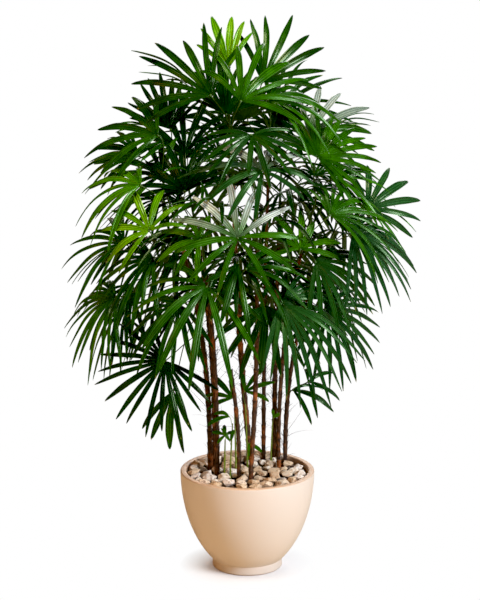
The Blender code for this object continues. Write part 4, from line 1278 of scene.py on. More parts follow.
# %% [markdown]
# The chips are tumbled limestone, three to five centimetres wide and flat, in two loose layers.
# Each is the convex hull of points scattered over a flattened ball, with its edges bevelled as
# the tumbling wears them. To place them, each chip counts as a disc: the discs, the stems and
# the wall push each other apart for some rounds, which packs them as closely as real chips lie.

# %% Lay the stone chips
CHIP_RADIUS = (0.0150, 0.0245)
CHIP_LAYERS = ((72, 0.2915, 0.15, 0.0015), (60, 0.3085, 0.50, 0.0035))
CHIP_REACH = 0.1885
CHIP_TOP = 0.3285
CHIP_ROUNDS = 90
CHIP_POINTS = 11
CHIP_SEED = 21
CHIP_EDGE = 0.0010
CHIP_FLATNESS = (0.46, 0.70)
CHIP_GROWTH = 1.10
CHIP_LONGEST_EDGE = 0.008
CHIP_ROUGHNESS = 0.07
CHIP_MARGIN = 0.001


def pack_discs(rng, count):
    """Places and radii of discs that have pushed each other apart inside the pot."""
    stems = [(*stem.foot, stem.radius) for stem in (*CANES, BROKEN_CANE, STUB, *SHOOTS)]
    discs = []
    for index in range(count):
        reach = CHIP_REACH * math.sqrt((index + 0.5) / count)
        angle = golden_turn(index) + rng.uniform(-0.3, 0.3)
        discs.append([reach * math.cos(angle), reach * math.sin(angle), rng.uniform(*CHIP_RADIUS)])
    for _ in range(CHIP_ROUNDS):
        for index, disc in enumerate(discs):
            for other in discs[index + 1:] + stems:
                apart_x, apart_y = disc[0] - other[0], disc[1] - other[1]
                apart = math.hypot(apart_x, apart_y) or 1e-6
                overlap = disc[2] + other[2] - apart
                if overlap <= 0:
                    continue
                fixed = isinstance(other, tuple)
                push = overlap * (1.0 if fixed else 0.5) / apart
                disc[0] += apart_x * push
                disc[1] += apart_y * push
                if not fixed:
                    other[0] -= apart_x * push
                    other[1] -= apart_y * push
            reach = math.hypot(disc[0], disc[1])
            limit = CHIP_REACH - disc[2] * 0.9
            if reach > limit:
                disc[0] *= limit / reach
                disc[1] *= limit / reach
    return discs


def add_chip(bm, rng, disc, height, tilt, tint_layer):
    """One chip: the hull of scattered points, with its edges worn round."""
    x, y, radius = disc
    stretch = rng.uniform(0.86, 1.16)
    flat = rng.uniform(*CHIP_FLATNESS)
    size = Vector((radius * stretch, radius / stretch, radius * flat)) * CHIP_GROWTH
    spin = Matrix.Rotation(rng.uniform(0, math.tau), 3, "Z")
    turn = spin @ Matrix.Rotation(rng.uniform(-tilt, tilt), 3, "X")
    chip = bmesh.new()
    for index in range(CHIP_POINTS):
        level = 1.0 - 2.0 * (index + 0.5) / CHIP_POINTS
        angle = golden_turn(index) + rng.uniform(-0.5, 0.5)
        ring = math.sqrt(1.0 - level * level)
        unit = Vector((ring * math.cos(angle), ring * math.sin(angle), level)) * rng.uniform(0.82, 1.08)
        chip.verts.new(Vector(axis * share for axis, share in zip(size, unit)))
    hull = bmesh.ops.convex_hull(chip, input=chip.verts)
    inner = hull["geom_interior"] + hull["geom_unused"]
    loose = [item for item in inner if isinstance(item, bmesh.types.BMVert)]
    bmesh.ops.delete(chip, geom=loose, context="VERTS")
    bmesh.ops.dissolve_limit(chip, angle_limit=math.radians(14), verts=chip.verts, edges=chip.edges)
    bmesh.ops.bevel(chip, geom=chip.edges, affect="EDGES", offset=CHIP_EDGE, segments=2, profile=0.5,
                    material=-1)
    bmesh.ops.triangulate(chip, faces=chip.faces)
    long_edges = [edge for edge in chip.edges if edge.calc_length() > CHIP_LONGEST_EDGE]
    bmesh.ops.subdivide_edges(chip, edges=long_edges, cuts=1)
    for vert in chip.verts:
        rough = noise.noise(vert.co * 160 + Vector((x, y, height)) * 1000)
        vert.co = Vector((x, y, height)) + turn @ (vert.co * (1.0 + CHIP_ROUGHNESS * rough))
    for vert in chip.verts:
        reach = math.hypot(vert.co.x, vert.co.y)
        if reach > CHIP_REACH + CHIP_MARGIN:
            vert.co.xy = vert.co.xy * ((CHIP_REACH + CHIP_MARGIN) / reach)
        vert.co.z = min(max(vert.co.z, SOIL_TOP + CHIP_MARGIN), CHIP_TOP)
    bmesh.ops.recalc_face_normals(chip, faces=chip.faces)
    mesh = bpy.data.meshes.new("chip")
    chip.to_mesh(mesh)
    chip.free()
    first = len(bm.verts)
    bm.from_mesh(mesh)
    bpy.data.meshes.remove(mesh)
    bm.verts.ensure_lookup_table()
    tint = rng.random()
    for vert in bm.verts[first:]:
        vert[tint_layer] = tint


def chip_bed():
    rng = random.Random(CHIP_SEED)
    bm = bmesh.new()
    tint_layer = bm.verts.layers.float.new("tint")
    for count, height, tilt, spread in CHIP_LAYERS:
        for disc in pack_discs(rng, count):
            add_chip(bm, rng, disc, height + rng.uniform(-spread, spread), tilt, tint_layer)
    return bm


print("chips to lay:", sum(layer[0] for layer in CHIP_LAYERS))

# %% [markdown]
# Limestone chips are matt and slightly chalky. One float on the mesh, "tint", makes some of them
# sandy, most of them ivory and a few nearly white. Thin brown veins and pits break up each face.
# Low down in the gaps they are brown, partly with soil dust and partly as painted shade.

# %% Tumbled limestone
DUST_AND_SHADE_HEIGHTS = (0.296, 0.310)
VEIN_SIZE_MM = 9.0
PIT_SIZE_MM = 1.6
VEIN_SHARE = 0.75


def limestone_material():
    material, tree, output = new_material("tumbled ivory limestone")
    place = add_node(tree, "TexCoord").outputs["Object"]
    tint = add_node(tree, "Attribute", {"attribute_name": "tint"})
    clouds = add_node(tree, "TexNoise", {"Scale": 1000 / VEIN_SIZE_MM, "Detail": 5.0, "Roughness": 0.6},
                      {"Vector": place})
    pits = add_node(tree, "TexNoise", {"Scale": 1000 / PIT_SIZE_MM, "Detail": 3.0}, {"Vector": place})
    base = add_node(tree, "ValToRGB", links={"Fac": tint.outputs["Fac"]},
                    stops=((0.0, "#DEBE98"), (0.25, "#ECD3B2"), (0.6, "#F6E6D0"), (1.0, "#FDF3E8")))
    veins = add_node(tree, "ValToRGB", links={"Fac": clouds.outputs["Fac"]},
                     stops=((0.36, "#8C5E3A"), (0.44, "#F6E4D0"), (0.66, "#FFFFFF")))
    mixed = add_node(tree, "Mix", {"data_type": "RGBA", "blend_type": "MULTIPLY", 0: VEIN_SHARE},
                     {6: base.outputs["Color"], 7: veins.outputs["Color"]})
    split = add_node(tree, "SeparateXYZ", links={"Vector": place})
    # Lower down the chips turn brown: partly soil dust, partly painted shade in the gaps.
    depth = add_node(tree, "MapRange", {"From Min": DUST_AND_SHADE_HEIGHTS[0], "From Max": DUST_AND_SHADE_HEIGHTS[1]},
                     {"Value": split.outputs["Z"]})
    soil_dust_and_shade = add_node(tree, "ValToRGB", links={"Fac": depth.outputs["Result"]},
                    stops=((0.0, "#4A3424"), (1.0, "#FFFFFF")))
    dusted_and_shaded = add_node(tree, "Mix", {"data_type": "RGBA", "blend_type": "MULTIPLY", 0: 1.0},
                     {6: mixed.outputs[2], 7: soil_dust_and_shade.outputs["Color"]})
    bump = add_node(tree, "Bump", {"Strength": 0.5, "Distance": 0.0008}, {"Height": pits.outputs["Fac"]})
    skin = add_node(tree, "BsdfPrincipled", {"Roughness": 0.78},
                    {"Base Color": dusted_and_shaded.outputs[2], "Normal": bump.outputs["Normal"]})
    tree.links.new(skin.outputs[0], output.inputs["Surface"])
    return material


add_piece("stone_chips", chip_bed(), [limestone_material()], "pebbles", "pebbles", smooth=False)

# %% [markdown]
# Stems, stalks and fibres are all tubes that follow a line. A grid is rolled up for each: its
# columns go round the line and its rows along it, its seam is merged and its ends are closed.
# A second place is kept for every point, as if the tube stood straight: the vector "grain". The
# fibre patterns read it, so that they run along a bent cane without a seam.

# %% Roll a grid into a tube


def tube_frames(centres):
    """The place and two directions across, for each point of a line, without twist."""
    frames = []
    across = Vector((0.0, 1.0, 0.0))
    for index, centre in enumerate(centres):
        ahead = centres[min(index + 1, len(centres) - 1)] - centres[max(index - 1, 0)]
        ahead.normalize()
        across = across - ahead * across.dot(ahead)
        if across.length < 0.2:
            across = Vector((1.0, 0.0, 0.0)) - ahead * ahead.x
        across.normalize()
        frames.append((centre, across, ahead.cross(across)))
    return frames


def add_tube(bm, grain, centres, radii, sides, shape=None):
    """A closed tube along a line. Shape, if given, moves each point further out and along."""
    rows = len(centres) - 1
    verts = bmesh.ops.create_grid(bm, x_segments=sides, y_segments=rows, size=1.0)["verts"]
    frames = tube_frames(centres)
    reached = [0.0]
    for before, after in zip(centres, centres[1:]):
        reached.append(reached[-1] + (after - before).length)
    for vert in verts:
        column = round((vert.co.x + 1.0) / 2 * sides) % sides
        row = round((vert.co.y + 1.0) / 2 * rows)
        angle = math.tau * column / sides
        centre, across, other = frames[row]
        radius, slide = radii[row], 0.0
        if shape:
            radius, slide = shape(radius, row, angle, reached[row])
        way = across * math.cos(angle) + other * math.sin(angle)
        vert.co = centre + way * radius + across.cross(other) * slide
        vert[grain] = (radius * math.cos(angle), radius * math.sin(angle), reached[row] + slide)
    bmesh.ops.remove_doubles(bm, verts=verts, dist=1e-7)
    alive = [vert for vert in verts if vert.is_valid]
    edges = {edge for vert in alive for edge in vert.link_edges if edge.is_boundary}
    bmesh.ops.holes_fill(bm, edges=list(edges), sides=sides)


print("frames for a line of two points:", len(tube_frames([DOWN, -DOWN])))

# %% [markdown]
# A lady palm wraps each cane in the feet of its old leaves. They dry to a coarse brown net, one
# sleeve above the other: every sleeve hugs the cane at its bottom, flares a little and ends in a
# torn, spiky rim. So the radius of the tube climbs and falls back once a sleeve, the rim's
# points are pushed up by different amounts, and ridges run along it like cords.

# %% Fibrous sleeves along a cane
SLEEVE_LENGTH = (0.034, 0.060)
SLEEVE_ROWS = 7
SLEEVE_FLARE = 0.20
SHORTEST_SLEEVE = 0.02
RIM_SPIKE = 0.011
RIM_STEP = 0.0006
RIM_ROW = 2.0
CORD_DEPTH = 0.10
CANE_COLUMNS = 18


def sleeve_plan(rng, length):
    """Row heights along a cane, and how far each row is on its own sleeve, or RIM_ROW on a rim."""
    plan = [(0.0, 0.0)]
    reached = 0.0
    while reached < length - SHORTEST_SLEEVE:
        sleeve = min(rng.uniform(*SLEEVE_LENGTH), length - reached)
        for row in range(1, SLEEVE_ROWS + 1):
            plan.append((reached + sleeve * row / SLEEVE_ROWS, row / SLEEVE_ROWS))
        reached += sleeve
        plan.append((reached + RIM_STEP, RIM_ROW))
        plan.append((reached + RIM_STEP * 2, 0.0))
    return plan


def sleeve_shape(plan, seed, wear):
    """How the sleeves move each point of a cane's tube. Wear is how torn they are, from 0 to 1."""
    def shape(radius, row, angle, reached):
        share = plan[row][1]
        spot = Vector((math.cos(angle) * 2.2, math.sin(angle) * 2.2, reached * 30 + seed))
        cord = noise.noise(Vector((math.cos(angle) * 4.5, math.sin(angle) * 4.5, reached * 9 + seed)))
        torn = max(0.0, noise.noise(spot * 1.7)) * wear
        if share == RIM_ROW:
            return radius * (1.0 + SLEEVE_FLARE * 0.9), RIM_SPIKE * torn * 2.2
        flare = SLEEVE_FLARE * share ** 2
        if share == 1.0:
            return radius * (1.0 + flare + CORD_DEPTH * cord), RIM_SPIKE * torn * 2.0
        return radius * (0.94 + flare + CORD_DEPTH * cord), 0.0
    return shape


first_plan = sleeve_plan(random.Random(1), 0.4)
print("sleeves on 0.4 m of cane:", sum(share == RIM_ROW for _, share in first_plan))

# %% [markdown]
# Loose fibres stand off the sleeves and give a cane its hairy outline. Each is a tapered
# three-sided tube that leaves the cane upwards and curls away. Most are one to three centimetres
# long, and a few long whiskers reach ten.

# %% Loose fibres
FIBRE_THICKNESS = (0.00030, 0.00085)
FIBRE_LENGTH = (0.008, 0.028)
FIBRE_STEPS = 4
LINE_STEPS = 24


def line_length(line):
    return sum((after - before).length for before, after in zip(line, line[1:]))


def round_way(angle):
    return Vector((math.cos(angle), math.sin(angle), 0.0))


def add_fibre(bm, grain, rng, start, outward, length, thickness):
    """One fibre from a place on a cane's skin, curling away from it."""
    curl = Vector((rng.uniform(-1, 1), rng.uniform(-1, 1), rng.uniform(-0.9, 0.5))) * 0.55
    heading = outward * rng.uniform(0.25, 0.75) + Vector((0, 0, rng.uniform(0.3, 1.0)))
    heading.normalize()
    centres, radii = [], []
    for step in range(FIBRE_STEPS + 1):
        share = step / FIBRE_STEPS
        centres.append(start + (heading * share + curl * share * share) * length)
        radii.append(thickness * (1.0 - 0.85 * share))
    add_tube(bm, grain, centres, radii, 3)


def add_cane(bm, grain, rng, line, radius, wear, fibres):
    """A fibrous cane along a line of points, with its loose fibres."""
    length = line_length(line)
    plan = sleeve_plan(rng, length)
    centres = [point_at(line, min(height, length)) for height, _ in plan]
    shape = sleeve_shape(plan, rng.uniform(0, 50), wear)
    radii = [radius(min(height / length, 1.0)) for height, _ in plan]
    add_tube(bm, grain, centres, radii, CANE_COLUMNS, shape)
    for _ in range(fibres):
        height = rng.uniform(0.02, 0.98) * length
        outward = round_way(rng.uniform(0, math.tau))
        skin = radius(height / length)
        start = point_at(line, height) + outward * skin * 0.9
        add_fibre(bm, grain, rng, start, outward, rng.uniform(*FIBRE_LENGTH), rng.uniform(*FIBRE_THICKNESS))


def point_at(line, reach):
    """The point at a length along a line of points."""
    for before, after in zip(line, line[1:]):
        step = (after - before).length
        if reach <= step:
            return before.lerp(after, reach / step)
        reach -= step
    return line[-1].copy()


def cane_line(cane):
    """A cane's middle line: straight up through the soil and the chips, then leaning."""
    end = share_at_height(cane, cane.crown_start)
    line = [Vector((*cane.foot, ROOT_DEPTH)), Vector((*cane.foot, LEAN_START))]
    line += [stem_point(cane, end * step / LINE_STEPS) for step in range(1, LINE_STEPS + 1)]
    return line


print("length of the first cane:", round(line_length(cane_line(CANES[0])), 3), "m")

# %% [markdown]
# The dried sheath is a reddish brown, with painted shade in the grooves between its cords, and
# orange where the newer skin of the cane shows. Noise that is stretched along the grain gives the
# cords, and a slow noise gives the patches.

# %% Dried palm sheath
CORD_SIZE_MM = 1.3
PATCH_SIZE_MM = 38.0
PATCH_EDGES = (0.53, 0.70)


def sheath_material():
    material, tree, output = new_material("dried fibrous palm sheath")
    grain = add_node(tree, "Attribute", {"attribute_name": "grain"})
    cords_at = add_node(tree, "Mapping", {"Scale": (1000 / CORD_SIZE_MM, 1000 / CORD_SIZE_MM, 45.0)},
                        {"Vector": grain.outputs["Vector"]})
    cords = add_node(tree, "TexNoise", {"Scale": 1.0, "Detail": 3.0, "Roughness": 0.6},
                     {"Vector": cords_at.outputs["Vector"]})
    place = add_node(tree, "TexCoord").outputs["Object"]
    patches = add_node(tree, "TexNoise", {"Scale": 1000 / PATCH_SIZE_MM, "Detail": 3.0}, {"Vector": place})
    # Both ramps run dark where the cords' noise is low, in the grooves: painted shade.
    brown = add_node(tree, "ValToRGB", links={"Fac": cords.outputs["Fac"]},
                     stops=((0.34, "#0E0704"), (0.48, "#35200F"), (0.60, "#66401F"), (0.76, "#A87444")))
    orange = add_node(tree, "ValToRGB", links={"Fac": cords.outputs["Fac"]},
                      stops=((0.32, "#4A2009"), (0.50, "#A2541E"), (0.72, "#DA9048")))
    where = add_node(tree, "MapRange", {"From Min": PATCH_EDGES[0], "From Max": PATCH_EDGES[1]},
                     {"Value": patches.outputs["Fac"]})
    colour = add_node(tree, "Mix", {"data_type": "RGBA"},
                      {0: where.outputs["Result"], 6: brown.outputs["Color"], 7: orange.outputs["Color"]})
    bump = add_node(tree, "Bump", {"Strength": 0.9, "Distance": 0.0012}, {"Height": cords.outputs["Fac"]})
    skin = add_node(tree, "BsdfPrincipled", {"Roughness": 0.72},
                    {"Base Color": colour.outputs[2], "Normal": bump.outputs["Normal"]})
    tree.links.new(skin.outputs[0], output.inputs["Surface"])
    return material


sheath = sheath_material()
print("material:", sheath.name)

# %% [markdown]
# Nine canes carry a crown, one is broken off and one is an old cut stub. The upper halves of
# the canes are the most frayed, so a few long whiskers stand off there. The stub is worn smoother.

# %% Canes, the broken one and the cut stub
CANE_SEED = 300
FIBRES_PER_METRE = 190
WHISKERS_PER_METRE = 26
WHISKER_THICKNESS = (0.00045, 0.00080)
WHISKER_LENGTH = (0.040, 0.105)
WHISKER_FROM = (0.45, 0.98)
STUB_MIDDLE = 0.30
STUB_WEAR = 0.3


def build_cane(number, node, line, radius, wear):
    rng = random.Random(CANE_SEED + number)
    bm = bmesh.new()
    grain = bm.verts.layers.float_vector.new("grain")
    length = line_length(line)
    add_cane(bm, grain, rng, line, lambda share: radius, wear, round(FIBRES_PER_METRE * length))
    for _ in range(round(WHISKERS_PER_METRE * length * wear)):
        outward = round_way(rng.uniform(0, math.tau))
        start = point_at(line, rng.uniform(*WHISKER_FROM) * length) + outward * (radius * 0.8)
        add_fibre(bm, grain, rng, start, outward, rng.uniform(*WHISKER_LENGTH),
                  rng.uniform(*WHISKER_THICKNESS))
    add_piece(node + "_sheath", bm, [sheath], "cane", node)


for number, cane in enumerate(CANES, 1):
    build_cane(number, "cane_%02d" % number, cane_line(cane), cane.radius, 1.0)
build_cane(10, "cane_10_broken", cane_line(BROKEN_CANE), BROKEN_CANE.radius, 1.0)
stub_line = [Vector((*STUB.foot, height)) for height in (ROOT_DEPTH, STUB_MIDDLE, STUB.crown_start)]
build_cane(11, "cane_11_stub", stub_line, STUB.radius, STUB_WEAR)

# %% [markdown]
# A leaflet is long, ribbon-like and pleated: two or three folds run its whole length, which is
# why it glints in stripes. Every blade starts as the same small grid, made solid by a skin of
# half a millimetre. Its columns go across and its rows along. A copy of it is then laid along
# the middle line of each leaflet: narrow in the notch of the hub, widest in the middle, folded
# into pleats and blunt and toothed at the tip.

# %% One blade to copy
BLADE_COLUMNS = 6
BLADE_ROWS = 15
BLADE_SKIN = 0.0005


def blade_template():
    """A flat blade with a top and a bottom layer. X is across, Y along and Z is 1 on top."""
    bm = bmesh.new()
    bm.verts.layers.float_vector.new("growth")
    # This float holds a painted sheen.
    bm.verts.layers.float.new("painted_sheen")
    under = bm.verts.layers.float.new("under")
    bmesh.ops.create_grid(bm, x_segments=BLADE_COLUMNS, y_segments=BLADE_ROWS, size=1.0)
    bmesh.ops.solidify(bm, geom=bm.faces[:], thickness=1.0)
    bmesh.ops.recalc_face_normals(bm, faces=bm.faces)
    for edge in bm.edges:
        edge.smooth = abs(edge.verts[0].co.x - edge.verts[1].co.x) > 0.01
    top = max(vert.co.z for vert in bm.verts)
    for vert in bm.verts:
        vert.co.z = 1.0 if vert.co.z > top - 0.5 else 0.0
        vert[under] = 1.0 - vert.co.z
    uv = bm.loops.layers.uv.new("blade")
    for face in bm.faces:
        for loop in face.loops:
            loop[uv].uv = ((loop.vert.co.x + 1.0) / 2, (loop.vert.co.y + 1.0) / 2)
    mesh = bpy.data.meshes.new("blade")
    bm.to_mesh(mesh)
    bm.free()
    return mesh


BLADE = blade_template()
print("one blade has", len(BLADE.vertices), "points and", len(BLADE.polygons), "faces")

# %% [markdown]
# No two leaflets hang alike. Each copy is twisted a little, swerves to one side towards its tip
# and waves up and down, by seeded draws. Near the hub its width is held to the room between its
# neighbours, so that the blades share the hub evenly.

# %% Lay a blade along a leaflet
WIDEST = 0.50
NECK_WIDTH = 0.36
TIP_SHARE = 0.30
TIP_WIDTH = 0.14
TIP_ROUNDNESS = 0.65
BLADE_START = 0.002
PLEATS = 3
PLEAT_FULL_WIDTH = 0.007
PLEAT_DEPTH = 0.0010
TROUGH = 0.30
TOOTH = 0.007
BLADE_TWIST = math.radians(24)
BLADE_SWERVE = 0.035
BLADE_WAVE = 0.0022
WAVE_RADIANS = 9
BLADE_WIDTHS = (0.75, 1.00)
FULL_NARROWER = 0.78


def blade_centre(leaflet, hub, reach):
    """A point on the middle line at a distance from the hub, first along the hub's own cone."""
    neck = (leaflet.start - hub).length
    if reach < neck:
        return hub.lerp(leaflet.start, reach / neck)
    return leaflet_middle(leaflet, (reach - neck) / leaflet.length)


def blade_half_width(leaflet, share, reach, room, width):
    rise = NECK_WIDTH + (1.0 - NECK_WIDTH) * math.sin(min(share / WIDEST, 1.0) * math.pi / 2)
    fall = TIP_WIDTH + (1.0 - TIP_WIDTH) * min((1.0 - share) / TIP_SHARE, 1.0) ** TIP_ROUNDNESS
    return min(leaflet.half_width * rise * fall * width, reach * math.tan(room) + 0.0006)


def lay_blade(bm, layers, fan, leaflet, room, look, sheen_share, rng):
    """Copy the flat blade into a mesh and bend the copy along a leaflet."""
    first = len(bm.verts)
    bm.from_mesh(BLADE)
    bm.verts.ensure_lookup_table()
    hub = Vector(fan.placed.frond.hub)
    total = (leaflet.start - hub).length + leaflet.length
    twist = rng.uniform(-1, 1) * BLADE_TWIST
    swerve = rng.uniform(-1, 1) * BLADE_SWERVE * total
    phase = rng.uniform(0, math.tau)
    width = rng.uniform(*BLADE_WIDTHS) * (FULL_NARROWER if fan.full else 1.0)
    teeth = [rng.uniform(0.0, 1.0) for _ in range(BLADE_COLUMNS + 1)]
    rings = []
    for row in range(BLADE_ROWS + 1):
        share = row / BLADE_ROWS
        reach = BLADE_START + (total - BLADE_START) * share
        centre = blade_centre(leaflet, hub, reach)
        before = blade_centre(leaflet, hub, reach - BLADE_START)
        along = (blade_centre(leaflet, hub, reach + BLADE_START) - before).normalized()
        flat_side = (leaflet.across - along * leaflet.across.dot(along)).normalized()
        flat_upper = flat_side.cross(along)
        cosine, sine = math.cos(twist * share), math.sin(twist * share)
        side = flat_side * cosine + flat_upper * sine
        upper = flat_upper * cosine - flat_side * sine
        wave = BLADE_WAVE * share * math.sin(WAVE_RADIANS * share + phase)
        centre += side * (swerve * share * share) + upper * wave
        half = blade_half_width(leaflet, share, reach, room, width)
        rings.append((centre, side, upper, along, half))
    growth, painted_sheen = layers
    for vert in bm.verts[first:]:
        column = round((vert.co.x + 1.0) / 2 * BLADE_COLUMNS)
        row = round((vert.co.y + 1.0) / 2 * BLADE_ROWS)
        centre, side, upper, along, half = rings[row]
        across = vert.co.x
        fold = math.cos(PLEATS * math.pi * across) * PLEAT_DEPTH * min(1.0, half / PLEAT_FULL_WIDTH)
        rise = fold + TROUGH * half * (abs(across) - 0.5) - (1.0 - vert.co.z) * BLADE_SKIN
        place = centre + side * (across * half) + upper * rise
        if row == BLADE_ROWS:
            place -= along * (TOOTH * teeth[column])
        vert.co = place
        vert[growth] = look
        # The second layer holds a painted sheen.
        vert[painted_sheen] = sheen_share


print("pleats of", PLEAT_DEPTH * 2000, "mm, skin of", BLADE_SKIN * 1000, "mm")

# %% [markdown]
# A living leaflet is a thin waxed sheet. Light glints on its skin with a leafy tint, and some
# passes through and comes out yellow-green, so a Principled skin is mixed with a Translucent one.
# The vector "growth" on the mesh says how young a leaflet is, how blue it is, which is painted
# cool light and sheen, and how dry it is. A float on the mesh paints some leaflets pale in stripes
# between the ribs, fading towards the hub: a painted sheen. The UV map runs across and along each
# blade and carries the ribs, the veins and the dry tip.

# %% Waxed palm leaflet
RIB_FOLDS = 3
VEINS_ACROSS = 22
SHADE_SIZE_MM = 45.0
SHADE_DRIFT = 0.6
TIP_RAGGED = 0.05
VEIN_HEIGHT = 0.02
UNDER_PALER = 0.30
UNDER_DULLER = 0.22
LIT_SHARE = 0.40
THROUGH_SHARE = 0.26


def leaflet_material():
    material, tree, output = new_material("waxed living palm leaflet")
    growth = add_node(tree, "Attribute", {"attribute_name": "growth"})
    young_blue_dry = add_node(tree, "SeparateXYZ", links={"Vector": growth.outputs["Vector"]})
    under = add_node(tree, "Attribute", {"attribute_name": "under"})
    blade = add_node(tree, "UVMap", {"uv_map": "blade"})
    across_along = add_node(tree, "SeparateXYZ", links={"Vector": blade.outputs["UV"]})
    across, along = across_along.outputs["X"], across_along.outputs["Y"]
    place = add_node(tree, "TexCoord").outputs["Object"]
    shade = add_node(tree, "TexNoise", {"Scale": 1000 / SHADE_SIZE_MM, "Detail": 4.0}, {"Vector": place})

    drift = add_node(tree, "Math", {"operation": "MULTIPLY_ADD", 1: SHADE_DRIFT, 2: -SHADE_DRIFT / 2},
                     {0: shade.outputs["Fac"]})
    age = add_node(tree, "Math", {"operation": "ADD", "use_clamp": True},
                   {0: young_blue_dry.outputs["X"], 1: drift.outputs[0]})
    green = add_node(tree, "ValToRGB", links={"Fac": age.outputs[0]},
                     stops=((0.0, "#113702"), (0.25, "#2A6403"), (0.50, "#4A9404"), (0.75, "#70C00A"),
                            (1.0, "#98D822")))
    # The blue share mixes in a painted cool light and sheen.
    painted_cool_tint = add_node(tree, "Mix", {"data_type": "RGBA", 7: linear("#366A42")},
                      {0: young_blue_dry.outputs["Y"], 6: green.outputs["Color"]})

    fold = add_node(tree, "Math", {"operation": "PINGPONG", 1: 0.5 / RIB_FOLDS}, {0: across})
    rib = add_node(tree, "MapRange", {"From Max": 0.5 / RIB_FOLDS},
                   {"Value": fold.outputs[0]})
    vein_turns = add_node(tree, "Math", {"operation": "MULTIPLY", 1: VEINS_ACROSS * math.tau}, {0: across})
    veins = add_node(tree, "Math", {"operation": "SINE"}, {0: vein_turns.outputs[0]})
    streaks_at = add_node(tree, "Mapping", {"Scale": (34.0, 1.6, 1.0)}, {"Vector": blade.outputs["UV"]})
    streaks = add_node(tree, "TexNoise", {"Scale": 1.0, "Detail": 2.0},
                       {"Vector": streaks_at.outputs["Vector"]})
    shaded = add_node(tree, "ValToRGB", links={"Fac": streaks.outputs["Fac"]},
                      stops=((0.35, "#C2C8B0"), (0.65, "#FFFFFF")))
    streaked = add_node(tree, "Mix", {"data_type": "RGBA", "blend_type": "MULTIPLY", 0: 1.0},
                        {6: painted_cool_tint.outputs[2], 7: shaded.outputs["Color"]})
    ribbed = add_node(tree, "Mix", {"data_type": "RGBA", "blend_type": "MULTIPLY", 7: linear("#86966F")},
                      {0: rib.outputs["Result"], 6: streaked.outputs[2]})

    # A pale painted sheen in stripes between the ribs, fading towards the hub.
    painted_sheen = add_node(tree, "Attribute", {"attribute_name": "painted_sheen"})
    stripes = add_node(tree, "MapRange",
                       {"From Min": 0.25, "From Max": 0.90, "To Min": 1.10, "To Max": 0.40},
                       {"Value": rib.outputs["Result"]})
    fade = add_node(tree, "MapRange", {"From Min": 0.14, "From Max": 0.58, "To Min": 0.12}, {"Value": along})
    striped = add_node(tree, "Math", {"operation": "MULTIPLY"},
                       {0: painted_sheen.outputs["Fac"], 1: stripes.outputs["Result"]})
    sheen_share = add_node(tree, "Math", {"operation": "MULTIPLY", "use_clamp": True},
                   {0: striped.outputs[0], 1: fade.outputs["Result"]})
    sheened = add_node(tree, "Mix", {"data_type": "RGBA", 7: linear("#F3FAF2")},
                     {0: sheen_share.outputs[0], 6: ribbed.outputs[2]})

    pale_share = add_node(tree, "Math", {"operation": "MULTIPLY", 1: UNDER_PALER}, {0: under.outputs["Fac"]})
    pale = add_node(tree, "Mix", {"data_type": "RGBA", 7: linear("#56793A")},
                    {0: pale_share.outputs[0], 6: sheened.outputs[2]})

    ragged = add_node(tree, "Math", {"operation": "MULTIPLY_ADD", 1: TIP_RAGGED, 2: -TIP_RAGGED / 2},
                      {0: streaks.outputs["Fac"]})
    tip = add_node(tree, "Math", {"operation": "ADD"}, {0: along, 1: ragged.outputs[0]})
    dry_from = add_node(tree, "MapRange", {"To Min": 1.02, "To Max": -0.2},
                        {"Value": young_blue_dry.outputs["Z"]})
    past = add_node(tree, "Math", {"operation": "SUBTRACT"},
                    {0: tip.outputs[0], 1: dry_from.outputs["Result"]})
    dry = add_node(tree, "MapRange", {"From Min": -0.01, "From Max": 0.10}, {"Value": past.outputs[0]})
    straw = add_node(tree, "ValToRGB", links={"Fac": dry.outputs["Result"]},
                     stops=((0.0, "#A9B04A"), (0.4, "#C3BC72"), (1.0, "#9C8C58")))
    dry_share = add_node(tree, "MapRange", {"From Max": 0.3, "To Max": 0.85},
                         {"Value": dry.outputs["Result"]})
    colour = add_node(tree, "Mix", {"data_type": "RGBA"},
                      {0: dry_share.outputs["Result"], 6: pale.outputs[2], 7: straw.outputs["Color"]})

    height = add_node(tree, "Math", {"operation": "MULTIPLY_ADD", 1: VEIN_HEIGHT},
                      {0: veins.outputs[0], 2: rib.outputs["Result"]})
    bump = add_node(tree, "Bump", {"Strength": 0.5, "Distance": 0.0006}, {"Height": height.outputs[0]})
    gloss = add_node(tree, "MapRange", {"From Min": 0.3, "From Max": 0.7, "To Min": 0.19, "To Max": 0.33},
                     {"Value": shade.outputs["Fac"]})
    dull = add_node(tree, "Math", {"operation": "MULTIPLY_ADD", 1: UNDER_DULLER},
                    {0: under.outputs["Fac"], 2: gloss.outputs["Result"]})
    skin = add_node(tree, "BsdfPrincipled", {"IOR": 1.48, "Specular Tint": linear("#CFF0B4")},
                    {"Base Color": colour.outputs[2], "Roughness": dull.outputs[0],
                     "Normal": bump.outputs["Normal"]})
    lit = add_node(tree, "Mix", {"data_type": "RGBA", 0: LIT_SHARE, 7: linear("#74B010")},
                   {6: colour.outputs[2]})
    through = add_node(tree, "BsdfTranslucent", links={"Color": lit.outputs[2]})
    sheet = add_node(tree, "MixShader", {0: THROUGH_SHARE}, {1: skin.outputs[0], 2: through.outputs[0]})
    tree.links.new(sheet.outputs[0], output.inputs["Surface"])
    return material


leaf = leaflet_material()
print("material:", leaf.name)

# %% [markdown]
# Stalks are smooth dark green rods with faint streaks along them. The young shoots from the soil
# are a lighter yellow-green.

# %% Green stalk
STREAK_SIZE_MM = 0.9


